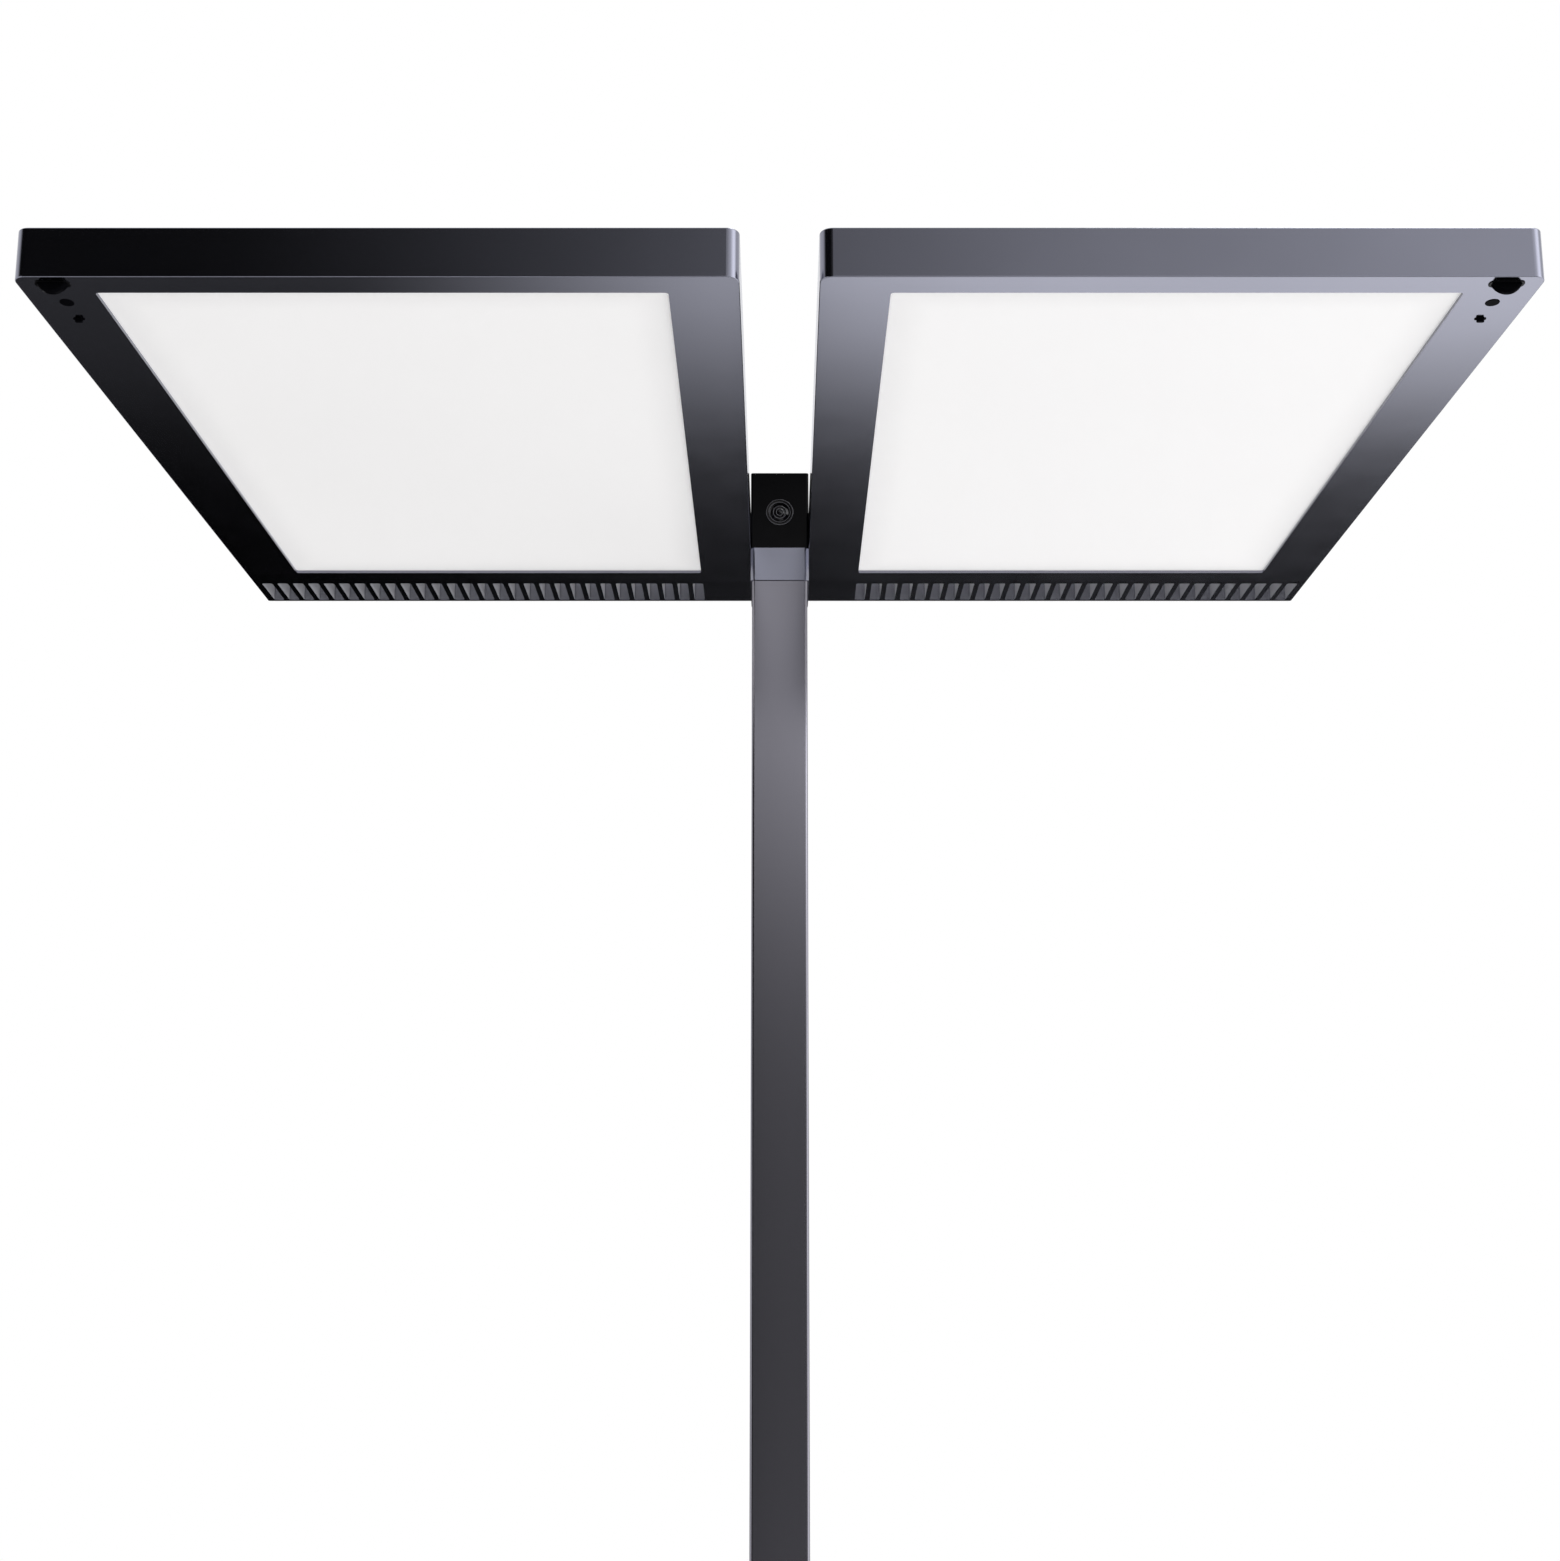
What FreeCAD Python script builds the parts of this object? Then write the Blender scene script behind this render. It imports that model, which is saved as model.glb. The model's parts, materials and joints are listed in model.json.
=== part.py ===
import FreeCAD, Part
import math
import os

# Office floor lamp with two flat light heads on one rear pole. Millimetres.
# Z = 0 is the floor, X runs along the two heads, -Y is the front of the lamp,
# and the origin lies on the floor under the middle of the heads.

os.makedirs("parts", exist_ok=True)
V = FreeCAD.Vector
ALONG_X = V(1, 0, 0)
ALONG_Y = V(0, 1, 0)
ALONG_Z = V(0, 0, 1)
ORIGIN = V(0, 0, 0)

# ------------------------------------------------------------ driving sizes
# Whole lamp
underside_height = 1942.0      # floor to the underside of the heads
head_gap = 42.0                # the two heads stand this far apart
pole_front_inset = 117.7       # front of the pole to the rear edge of the heads

# Shell of one head
head_width = 380.0
head_depth = 520.0
head_height = 28.0
head_corner = 7.0
head_rear_corner = 1.5
head_edge = 0.6
head_wall = 2.5
head_floor = 2.0
lid_thickness = 2.0
lid_ledge = 1.2
lid_clearance = 0.4
lid_corner_break = 0.4

# Light panel in the underside of one head
panel_side_margin = 38.0
panel_front_margin = 17.5
panel_rear_margin = 20.2
panel_corner = 2.0
diffuser_rim = 6.0
diffuser_thickness = 2.0
guide_rim = 2.0
guide_thickness = 4.0
reflector_thickness = 0.8
rail_width = 4.0
rail_clearance = 0.2
led_size = 3.0
led_height = 0.6
led_pitch = 22.0

# Carrier plate and upward light of one head
plate_air = 1.2
plate_thickness = 2.0
plate_clearance = 4.0
board_thickness = 1.6
uplight_side_margin = 70.0
uplight_front_margin = 110.0
uplight_rear_margin = 125.0
uplight_rim = 6.0
uplight_thickness = 2.0
uplight_board_depth = 30.0
uplight_board_inset = 18.0
uplight_led_size = 5.0
uplight_led_height = 1.0
uplight_led_count = 8

# Cooling bar that forms the rear edge of one head
sink_depth = 44.8
slot_width = 8.0
slot_pitch = 11.75
slot_outer_margin = 5.5
slot_inner_margin = 36.0
slot_corner = 1.5
slot_front_wall = 3.4
slot_rear_wall = 2.7
seam_width = 0.6
seam_depth = 1.0

# Screw posts inside one head
post_inset = 14.0
post_first = 72.0
post_pitch = 166.0
post_count = 3
post_foot_radius = 5.0
post_radius = 3.5
post_clearance = 0.3
lid_screw_radius = 1.5
lid_screw_head = 2.9
lid_screw_length = 8.0
screw_clearance = 0.05

# Sensors in the front outer corner of one head
sensor_side = 19.2
motion_front = 7.5
light_front = 28.3
status_front = 46.8
motion_lip_width = 18.8
motion_lip_depth = 7.0
motion_lip_height = 0.5
motion_sleeve_width = 17.4
motion_sleeve_depth = 5.8
motion_sleeve_height = 5.0
motion_lens_width = 16.0
motion_lens_depth = 4.6
motion_lens_drop = 5.2
motion_lens_edge = 1.6
motion_lens_wall = 0.8
motion_flange_width = 0.6
motion_flange_height = 1.2
motion_chip_width = 8.0
motion_chip_depth = 2.2
light_radius = 3.75
light_chip_radius = 2.2
status_width = 4.2
status_depth = 2.0
status_lip_width = 6.4
status_lip_depth = 2.6
status_drop = 2.0
window_flange = 1.1
window_flange_height = 1.2
window_proud = 0.3
sensor_clearance = 0.1
sensor_board_width = 22.0
sensor_board_length = 58.4
sensor_board_gap = 1.0
sensor_post_radius = 1.8
sensor_post_inset = 3.0
sensor_post_gap = 8.0          # last window to the second post

# Bridge between the heads
bridge_height = 58.0
bridge_depth = 92.0
bridge_wall = 2.5
bridge_corner = 1.5
bridge_edge = 0.8
cap_thickness = 2.5
cap_skirt = 4.0
saddle_front = 17.7            # front of the bridge to the front of the saddle
saddle_height = 27.5
bracket_thickness = 4.0
bracket_foot = 38.0
bracket_foot_thickness = 2.0
bracket_length = 46.0
bracket_rear = 6.0
bracket_headroom = 0.4
bolt_radius = 2.5
bolt_head_radius = 4.0
bolt_head_height = 5.0
bolt_socket_radius = 2.2
bolt_socket_depth = 2.6
bolt_hole_clearance = 0.25
bolt_pitch = 28.0
bolt_bite = 10.0

# Sensor in the front of the bridge
eye_height = 27.4
eye_radius = 9.9
eye_lens_radius = 6.6
eye_ring_step = 1.1
eye_ring_rise = 0.35
eye_ring_count = 3
eye_proud = 0.9
eye_lens_dome = 1.2
eye_depth = 4.0
eye_flange = 1.6
eye_board_width = 30.0
eye_board_height = 24.0
eye_board_back = 6.2
eye_post_radius = 1.8
eye_post_inset = 3.0

# Pole
pole_width = 40.0
pole_depth = 60.0
pole_wall = 3.0
pole_corner = 2.0
collar_height = 24.4
collar_proud = 1.2
spigot_clearance = 0.2
spigot_depth_slack = 2.0
spigot_wall = 3.0
spigot_plate = 6.0
spigot_rise = 14.0
spigot_drop = 140.0
spigot_bolt_radius = 3.0
spigot_bolt_head_radius = 5.0
spigot_bolt_head_height = 6.0
spigot_bolt_pitch = 22.0

# Wiring
cable_radius = 3.0
cable_setback = 14.9           # front of the pole to the middle of the cable
cable_hole_radius = 4.0
junction_width = 16.0
junction_depth = 5.0
junction_height = 8.0
lead_radius = 2.0
lead_hole_radius = 2.4
lead_reach = 60.0
plug_length = 14.0
plug_width = 12.0
plug_wall = 1.1

# Drivers inside the pole
driver_rail_thickness = 2.0
driver_rail_width = 26.0
driver_rail_spare = 10.0
driver_width = 28.0
driver_depth = 22.0
driver_length = 340.0
driver_pitch = 380.0
driver_key_gap = 109.5         # top of the upper driver to the keys' bezel
driver_corner = 2.0

# Keys on the front of the pole
controls_height = 1120.0
key_width = 15.0
key_height = 20.0
key_pitch = 26.0
key_travel = 0.8
key_clearance = 0.3
key_proud = 1.0
key_corner = 2.0
key_edge = 0.5
key_flange = 1.2
key_flange_thickness = 1.2
key_mark_size = 6.0
key_mark_width = 1.0
key_mark_rise = 0.25
frame_border = 4.5
frame_lip = 2.2
frame_proud = 1.0
frame_body = 7.3
frame_flange = 1.6
frame_clearance = 0.1
switch_size = 6.0
switch_gap = 0.3

# Mains inlet on the rear of the pole
inlet_height = 110.0
inlet_width = 27.2
inlet_tall = 20.0
inlet_depth = 16.3
inlet_wall = 1.6
inlet_floor = 2.5
inlet_flange = 2.0
inlet_flange_thickness = 2.2
inlet_clearance = 0.1
inlet_corner = 3.0
pin_width = 2.0
pin_tall = 4.0
pin_pitch = 7.0
pin_offset = 2.0
pin_length = 10.0
pin_tab = 3.0
terminal_width = 24.0
terminal_tall = 20.0
terminal_depth = 30.0

# Foot and base
base_width = 500.0
base_front = 190.0
base_rear = 230.0
base_thickness = 10.0
base_corner = 14.0
base_edge = 1.5
pad_radius = 15.0
pad_height = 5.0
pad_recess = 1.0
pad_clearance = 0.3
pad_inset = 30.0
foot_border = 18.0
foot_thickness = 8.0
foot_corner = 6.0
foot_edge = 1.2
foot_plug = 40.0
foot_screw_inset = 8.5
foot_screw_radius = 3.0
foot_screw_head = 5.8
foot_screw_floor = 1.0

cut_margin = 5.0               # how far a cutting tool runs past a face

# ---------------------------------------------------- places worked out from them
head_x = head_gap / 2
head_y = -head_depth / 2
housing_depth = head_depth - sink_depth
inner_wall = head_wall + lid_ledge
lid_underside = head_height - lid_thickness
guide_level = head_floor + diffuser_thickness
reflector_level = guide_level + guide_thickness
plate_level = reflector_level + reflector_thickness + plate_air
plate_top = plate_level + plate_thickness
bolt_level = (plate_top + lid_underside) / 2
panel_rear = housing_depth - panel_rear_margin
guide_left = panel_side_margin - guide_rim
guide_right = head_width - guide_left
uplight_rear = housing_depth - uplight_rear_margin
sensor_u = head_width - sensor_side
sensor_board_front = inner_wall + sensor_clearance
sensor_board_right = head_width - inner_wall - head_corner + head_wall - sensor_clearance
sensor_board_left = sensor_board_right - sensor_board_width
sensor_post_fronts = ((light_front + status_front) / 2, status_front + sensor_post_gap)
sensor_board_level = motion_sleeve_height + motion_flange_height + sensor_board_gap

pole_front = head_y + head_depth - pole_front_inset
pole_rear = pole_front + pole_depth
pole_middle = (pole_front + pole_rear) / 2
tube_inner_half = pole_width / 2 - pole_wall
tube_inner_front = pole_front + pole_wall
tube_inner_rear = pole_rear - pole_wall
tube_top = underside_height - collar_height
foot_level = pad_height - pad_recess + base_thickness
tube_bottom = foot_level + foot_thickness
spigot_half = tube_inner_half - spigot_clearance
spigot_front = tube_inner_front + spigot_depth_slack
spigot_rear = tube_inner_rear - spigot_depth_slack
spigot_top = underside_height + spigot_rise

bridge_rear = pole_front + bridge_depth
bridge_top = underside_height + bridge_height - cap_thickness
bridge_inner_half = head_gap / 2 - bridge_wall
saddle_y = pole_front + saddle_front
saddle_rear = bridge_rear - bridge_wall
saddle_floor = underside_height + bridge_wall
saddle_top = saddle_floor + saddle_height
bracket_v1 = housing_depth - inner_wall - bracket_rear
bracket_v0 = bracket_v1 - bracket_length
bolt_middle_v = (bracket_v0 + bracket_v1) / 2
bolt_places = (bolt_middle_v - bolt_pitch / 2, bolt_middle_v + bolt_pitch / 2)
spigot_bolt_places = (
    saddle_y + spigot_bolt_radius + spigot_bolt_head_radius,
    saddle_y + spigot_bolt_radius + spigot_bolt_head_radius + spigot_bolt_pitch,
)

cable_y = pole_front + cable_setback
driver_y = tube_inner_front + driver_rail_thickness
frame_half_width = key_width / 2 + frame_border
frame_half_height = key_pitch + key_height / 2 + frame_border
frame_back = pole_front - frame_proud + frame_body
upper_driver = controls_height - frame_half_height - driver_key_gap - driver_length
driver_levels = (upper_driver - driver_pitch, upper_driver)
inlet_back = pole_rear - inlet_depth
pin_front = inlet_back + inlet_floor + pin_length


# -------------------------------------------------------------------- helpers
def block(x0, x1, y0, y1, z0, z1):
    """Box between two corners."""
    return Part.makeBox(x1 - x0, y1 - y0, z1 - z0, V(x0, y0, z0))


def rounded_face(x0, x1, y0, y1, z, radius):
    """Level face with a rectangular outline and round corners."""
    r = min(radius, 0.45 * (x1 - x0), 0.45 * (y1 - y0))
    centres = ((x1 - r, y0 + r), (x1 - r, y1 - r), (x0 + r, y1 - r), (x0 + r, y0 + r))
    arcs = []
    for turn, (cx, cy) in enumerate(centres):
        start = 90.0 * turn - 90.0
        arcs.append(Part.makeCircle(r, V(cx, cy, z), ALONG_Z, start, start + 90.0))
    edges = []
    for turn, arc in enumerate(arcs):
        following = arcs[(turn + 1) % len(arcs)]
        edges.append(arc)
        edges.append(Part.makeLine(arc.Vertexes[-1].Point, following.Vertexes[0].Point))
    return Part.Face(Part.Wire(edges))


def prism(x0, x1, y0, y1, z0, z1, radius):
    """Upright prism with round corners."""
    return rounded_face(x0, x1, y0, y1, z0, radius).extrude(V(0, 0, z1 - z0))


def prism_y(x0, x1, y0, y1, z0, z1, radius):
    """Prism along Y with round corners in its X-Z outline."""
    lying = prism(x0, x1, z0, z1, 0, y1 - y0, radius)
    lying.rotate(ORIGIN, ALONG_X, 90)
    lying.translate(V(0, y1, 0))
    return lying


def rod_z(x, y, z0, z1, radius):
    """Upright cylinder."""
    return Part.makeCylinder(radius, z1 - z0, V(x, y, z0), ALONG_Z)


def rod_y(x, z, y0, y1, radius):
    """Cylinder along Y."""
    return Part.makeCylinder(radius, y1 - y0, V(x, y0, z), ALONG_Y)


def rod_x(y, z, x0, x1, radius):
    """Cylinder along X."""
    return Part.makeCylinder(radius, x1 - x0, V(x0, y, z), ALONG_X)


def head_block(u0, u1, v0, v1, w0, w1):
    """Box in the right head: u from its inner side, v from its front, w up from its underside."""
    return block(head_x + u0, head_x + u1, head_y + v0, head_y + v1,
                 underside_height + w0, underside_height + w1)


def head_prism(u0, u1, v0, v1, w0, w1, radius):
    """Round-cornered prism in the right head's own directions."""
    return prism(head_x + u0, head_x + u1, head_y + v0, head_y + v1,
                 underside_height + w0, underside_height + w1, radius)


def head_rod(u, v, w0, w1, radius):
    """Upright cylinder in the right head's own directions."""
    return rod_z(head_x + u, head_y + v, underside_height + w0, underside_height + w1, radius)


def sensor_prism(front, width, depth, w0, w1):
    """Prism with round ends on the line of the right head's sensors."""
    return head_prism(sensor_u - width / 2, sensor_u + width / 2, front - depth / 2,
                      front + depth / 2, w0, w1, depth / 2)


def round_levels(solid, radius, levels):
    """Round the level edges of a solid that lie at the given heights."""
    edges = []
    for edge in solid.Edges:
        bounds = edge.BoundBox
        for level in levels:
            if abs(bounds.ZMin - level) < 0.001 and abs(bounds.ZMax - level) < 0.001:
                edges.append(edge)
    return solid.makeFillet(radius, edges)


def join(shapes):
    """One solid from shapes that touch or overlap."""
    shapes = list(shapes)
    return shapes[0].multiFuse(shapes[1:]).removeSplitter() if len(shapes) > 1 else shapes[0]


def dome(x, y, z, radius, drop):
    """Spherical cap that hangs by drop below the level z."""
    ball_radius = (radius ** 2 + drop ** 2) / (2 * drop)
    ball = Part.makeSphere(ball_radius, V(x, y, z - drop + ball_radius))
    below = block(x - ball_radius, x + ball_radius, y - ball_radius, y + ball_radius,
                  z - drop - cut_margin, z)
    return ball.common(below)


def countersunk_screw(x, y, top, head_radius, radius, length):
    """Flat-headed screw, its head level with the height top."""
    head_height = head_radius - radius
    head = Part.makeCone(radius, head_radius, head_height, V(x, y, top - head_height))
    return head.fuse(rod_z(x, y, top - length, top - head_height, radius)).removeSplitter()


def countersunk_hole(x, y, top, head_radius, radius, depth):
    """Cutting tool for a flat-headed screw."""
    head_height = head_radius - radius
    head = Part.makeCone(radius, head_radius, head_height, V(x, y, top - head_height))
    return head.fuse(rod_z(x, y, top - depth, top - head_height, radius))


def mirrored(shape):
    """The same piece in the other head."""
    return shape.mirror(ORIGIN, ALONG_X)


# ------------------------------------------------------------- one light head
def post_places():
    """Middles of the screw posts in one head."""
    rows = [post_first + post_pitch * row for row in range(post_count)]
    return [(u, v) for u in (post_inset, head_width - post_inset) for v in rows]


def sensor_post_places():
    """Middles of the two posts that carry the sensor board."""
    return [(sensor_board_left + sensor_post_inset, v) for v in sensor_post_fronts]


def head_envelope():
    """Whole outer form of one head, with wider round corners at its front than at its rear."""
    top = underside_height + head_height
    front_form = head_prism(0, head_width, 0, head_depth + head_corner, 0, head_height, head_corner)
    rear_form = head_prism(0, head_width, -head_corner, head_depth, 0, head_height, head_rear_corner)
    whole = front_form.common(rear_form)
    return round_levels(whole, head_edge, (underside_height, top))


def head_housing():
    """Tray with a window in its floor, open at the top, closed towards the cooling bar."""
    front = head_block(-cut_margin, head_width + cut_margin, -cut_margin, housing_depth,
                       -cut_margin, head_height + cut_margin)
    tray = head_envelope().common(front)
    pocket = head_prism(inner_wall, head_width - inner_wall, inner_wall, housing_depth - inner_wall,
                        head_floor, head_height + cut_margin, head_corner - head_wall)
    lid_seat = head_prism(head_wall, head_width - head_wall, head_wall, housing_depth - head_wall,
                          lid_underside, head_height + cut_margin, head_corner - head_wall)
    window = head_prism(panel_side_margin, head_width - panel_side_margin, panel_front_margin,
                        panel_rear, -cut_margin, head_floor + cut_margin, panel_corner)
    tray = tray.cut([pocket, lid_seat, window])
    posts = []
    for u, v in post_places():
        posts.append(head_rod(u, v, head_floor, plate_level, post_foot_radius))
        posts.append(head_rod(u, v, plate_level, lid_underside, post_radius))
    for u, v in sensor_post_places():
        posts.append(head_rod(u, v, head_floor, sensor_board_level, sensor_post_radius))
    tray = tray.fuse(posts)
    holes = []
    for u, v in post_places():
        depth = lid_screw_length - lid_thickness + screw_clearance
        holes.append(head_rod(u, v, lid_underside - depth, lid_underside + cut_margin,
                              lid_screw_radius + screw_clearance))
    slack = 2 * sensor_clearance
    holes.append(sensor_prism(motion_front, motion_sleeve_width + slack,
                              motion_sleeve_depth + slack, -cut_margin, head_floor))
    holes.append(head_rod(sensor_u, light_front, -cut_margin, head_floor,
                          light_radius + sensor_clearance))
    holes.append(sensor_prism(status_front, status_width + slack, status_depth + slack,
                              -cut_margin, head_floor))
    for v in bolt_places:
        holes.append(rod_x(head_y + v, underside_height + bolt_level, head_x - cut_margin,
                           head_x + inner_wall, bolt_radius + bolt_hole_clearance))
    holes.append(rod_x(cable_y, underside_height + bolt_level, head_x - cut_margin,
                       head_x + inner_wall, lead_hole_radius))
    return tray.cut(holes).removeSplitter()


def lid_screws():
    """Flat-headed screws of both lids."""
    screws = []
    for u, v in post_places():
        screw = countersunk_screw(head_x + u, head_y + v, underside_height + head_height,
                                  lid_screw_head, lid_screw_radius, lid_screw_length)
        screws.append(screw)
        screws.append(mirrored(screw))
    return screws


def head_lid():
    """Lid let into the top of the housing, with a window for the upward light."""
    inset = head_wall + lid_clearance
    lid = head_prism(inset, head_width - inset, inset, housing_depth - inset,
                     lid_underside, head_height, head_corner - inset)
    lid = round_levels(lid, lid_corner_break, (underside_height + head_height,))
    tools = [head_prism(uplight_side_margin, head_width - uplight_side_margin, uplight_front_margin,
                        uplight_rear, lid_underside - cut_margin, head_height + cut_margin,
                        panel_corner)]
    for u, v in post_places():
        tools.append(countersunk_hole(head_x + u, head_y + v, underside_height + head_height,
                                      lid_screw_head + screw_clearance,
                                      lid_screw_radius + screw_clearance,
                                      lid_thickness + cut_margin))
    return lid.cut(tools)


def heat_sink():
    """Aluminium bar along the rear of the head, slotted from below to above for air."""
    rear = head_block(-cut_margin, head_width + cut_margin, housing_depth, head_depth + cut_margin,
                      -cut_margin, head_height + cut_margin)
    bar = head_envelope().common(rear)
    tools = []
    for w0, w1 in ((-cut_margin, seam_depth), (head_height - seam_depth, head_height + cut_margin)):
        tools.append(head_block(-cut_margin, head_width + cut_margin, housing_depth - cut_margin,
                                housing_depth + seam_width, w0, w1))
    room = head_width - slot_outer_margin - slot_inner_margin - slot_width
    slot_count = math.floor(room / slot_pitch) + 1
    for slot in range(slot_count):
        u1 = head_width - slot_outer_margin - slot * slot_pitch
        tools.append(head_prism(u1 - slot_width, u1, housing_depth + slot_front_wall,
                                head_depth - slot_rear_wall, -cut_margin,
                                head_height + cut_margin, slot_corner))
    return bar.cut(tools)


def diffuser():
    """Opal plate that closes the window from inside."""
    return head_prism(panel_side_margin - diffuser_rim, head_width - panel_side_margin + diffuser_rim,
                      panel_front_margin - diffuser_rim, panel_rear + diffuser_rim,
                      head_floor, guide_level, panel_corner)


def guide_plate(w0, w1):
    """Sheet of the light guide's outline between two levels."""
    return head_prism(guide_left, guide_right, panel_front_margin - guide_rim,
                      panel_rear + guide_rim, w0, w1, panel_corner)


def led_rails():
    """Two aluminium rails with light sources, one along each side of the light guide."""
    v0 = panel_front_margin - guide_rim
    v1 = panel_rear + guide_rim
    count = math.floor((v1 - v0 - led_size) / led_pitch)
    rest = (v1 - v0 - count * led_pitch) / 2
    middle = (guide_level + reflector_level) / 2
    rails = []
    for edge, outward in ((guide_left, -1), (guide_right, 1)):
        near = edge + outward * (rail_clearance + led_height)
        far = near + outward * rail_width
        pieces = [head_block(min(near, far), max(near, far), v0, v1, guide_level, plate_level)]
        tip = near - outward * led_height
        for led in range(count + 1):
            v = v0 + rest + led * led_pitch
            pieces.append(head_block(min(near, tip), max(near, tip), v - led_size / 2,
                                     v + led_size / 2, middle - led_size / 2, middle + led_size / 2))
        rails.append(join(pieces))
    return rails


def back_plate():
    """Aluminium plate that carries the boards and spreads their heat."""
    inset = inner_wall + plate_clearance
    plate = head_prism(inset, head_width - inset, inset, housing_depth - inset, plate_level,
                       plate_top, head_corner)
    holes = [head_rod(u, v, plate_level - cut_margin, plate_top + cut_margin,
                      post_radius + post_clearance) for u, v in post_places()]
    return plate.cut(holes)


def uplight_boards():
    """Two boards with upward light sources in each head."""
    boards = []
    u0 = uplight_side_margin + uplight_board_inset
    u1 = head_width - u0
    pitch = (u1 - u0) / uplight_led_count
    v_front = uplight_front_margin + uplight_board_inset
    v_rear = uplight_rear - uplight_board_inset - uplight_board_depth
    for v0 in (v_front, v_rear):
        pieces = [head_block(u0, u1, v0, v0 + uplight_board_depth, plate_top,
                             plate_top + board_thickness)]
        for led in range(uplight_led_count):
            u = u0 + (led + 0.5) * pitch
            v = v0 + uplight_board_depth / 2
            pieces.append(head_block(u - uplight_led_size / 2, u + uplight_led_size / 2,
                                     v - uplight_led_size / 2, v + uplight_led_size / 2,
                                     plate_top + board_thickness,
                                     plate_top + board_thickness + uplight_led_height))
        board = join(pieces)
        boards.append(board)
        boards.append(mirrored(board))
    return boards


def uplight_window():
    """Opal plate under the window in the lid."""
    return head_prism(uplight_side_margin - uplight_rim, head_width - uplight_side_margin + uplight_rim,
                      uplight_front_margin - uplight_rim, uplight_rear + uplight_rim,
                      lid_underside - uplight_thickness, lid_underside, panel_corner)


def motion_ring():
    """Black ring with a lip below the underside and a sleeve through the floor."""
    lip = sensor_prism(motion_front, motion_lip_width, motion_lip_depth, -motion_lip_height, 0)
    lip = round_levels(lip, motion_lip_height / 2, (underside_height - motion_lip_height,))
    sleeve = sensor_prism(motion_front, motion_sleeve_width, motion_sleeve_depth, 0,
                          motion_sleeve_height)
    slack = 2 * sensor_clearance
    bore = sensor_prism(motion_front, motion_lens_width + slack, motion_lens_depth + slack,
                        -cut_margin, motion_sleeve_height + cut_margin)
    return lip.fuse(sleeve).cut(bore).removeSplitter()


def hull(width, depth, drop, edge):
    """Round-edged keel that hangs by drop below the lip of the motion sensor."""
    radius = (width ** 2 / 4 + drop ** 2) / (2 * drop)
    x = head_x + sensor_u
    y = head_y + motion_front
    level = underside_height - motion_lip_height
    wheel = rod_y(x, level - drop + radius, y - depth / 2, y + depth / 2, radius)
    rims = [rim for rim in wheel.Edges if rim.BoundBox.YLength < 0.001]
    wheel = wheel.makeFillet(edge, rims)
    return wheel.common(sensor_prism(motion_front, width, depth, -motion_lip_height - drop
                                     - cut_margin, -motion_lip_height))


def motion_lens():
    """Thin lens, curved like a keel, that hangs in the ring by its flange."""
    skirt_top = motion_sleeve_height + motion_flange_height
    flange = sensor_prism(motion_front, motion_lens_width + 2 * motion_flange_width,
                          motion_lens_depth + 2 * motion_flange_width, motion_sleeve_height,
                          skirt_top)
    skirt = sensor_prism(motion_front, motion_lens_width, motion_lens_depth, -motion_lip_height,
                         skirt_top)
    keel = hull(motion_lens_width, motion_lens_depth, motion_lens_drop, motion_lens_edge)
    outer = join([keel, skirt, flange])
    inner_width = motion_lens_width - 2 * motion_lens_wall
    inner_depth = motion_lens_depth - 2 * motion_lens_wall
    hollow = sensor_prism(motion_front, inner_width, inner_depth, -motion_lip_height,
                          skirt_top + cut_margin)
    bowl = hull(inner_width, inner_depth, motion_lens_drop - motion_lens_wall,
                motion_lens_edge - motion_lens_wall)
    return outer.cut(join([bowl, hollow]))


def light_sensor():
    """Small dark window in the floor, held by a flange inside."""
    top = head_floor + window_flange_height
    body = head_rod(sensor_u, light_front, -window_proud, top, light_radius)
    body = round_levels(body, window_proud / 2, (underside_height - window_proud,))
    flange = head_rod(sensor_u, light_front, head_floor, top, light_radius + window_flange)
    return join([body, flange])


def status_window():
    """Light pipe pressed into the floor from below: a lip with a short tab."""
    pipe = sensor_prism(status_front, status_width, status_depth, -status_drop,
                        head_floor + window_flange_height)
    pipe = round_levels(pipe, window_proud, (underside_height - status_drop,))
    lip = sensor_prism(status_front, status_lip_width, status_lip_depth, -window_proud, 0)
    return join([pipe, lip])


def head_sensor_board():
    """Board above the three sensors, with the motion detector reaching into its lens."""
    board = head_block(sensor_board_left, sensor_board_right, sensor_board_front,
                       sensor_board_front + sensor_board_length, sensor_board_level,
                       sensor_board_level + board_thickness)
    chip = head_block(sensor_u - motion_chip_width / 2, sensor_u + motion_chip_width / 2,
                      motion_front - motion_chip_depth / 2, motion_front + motion_chip_depth / 2,
                      0, sensor_board_level)
    light_chip = head_rod(sensor_u, light_front, head_floor + window_flange_height + sensor_board_gap,
                          sensor_board_level, light_chip_radius)
    return join([board, chip, light_chip])


def mount_bracket():
    """Steel angle that ties the carrier plate to the head's inner wall."""
    upright = head_block(inner_wall, inner_wall + bracket_thickness, bracket_v0, bracket_v1,
                         plate_top, lid_underside - bracket_headroom)
    foot = head_block(inner_wall, inner_wall + bracket_foot, bracket_v0, bracket_v1, plate_top,
                      plate_top + bracket_foot_thickness)
    angle = join([upright, foot])
    holes = [rod_x(head_y + v, underside_height + bolt_level, head_x, head_x + inner_wall
                   + bracket_thickness + cut_margin, bolt_radius + bolt_hole_clearance)
             for v in bolt_places]
    return angle.cut(holes)


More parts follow.
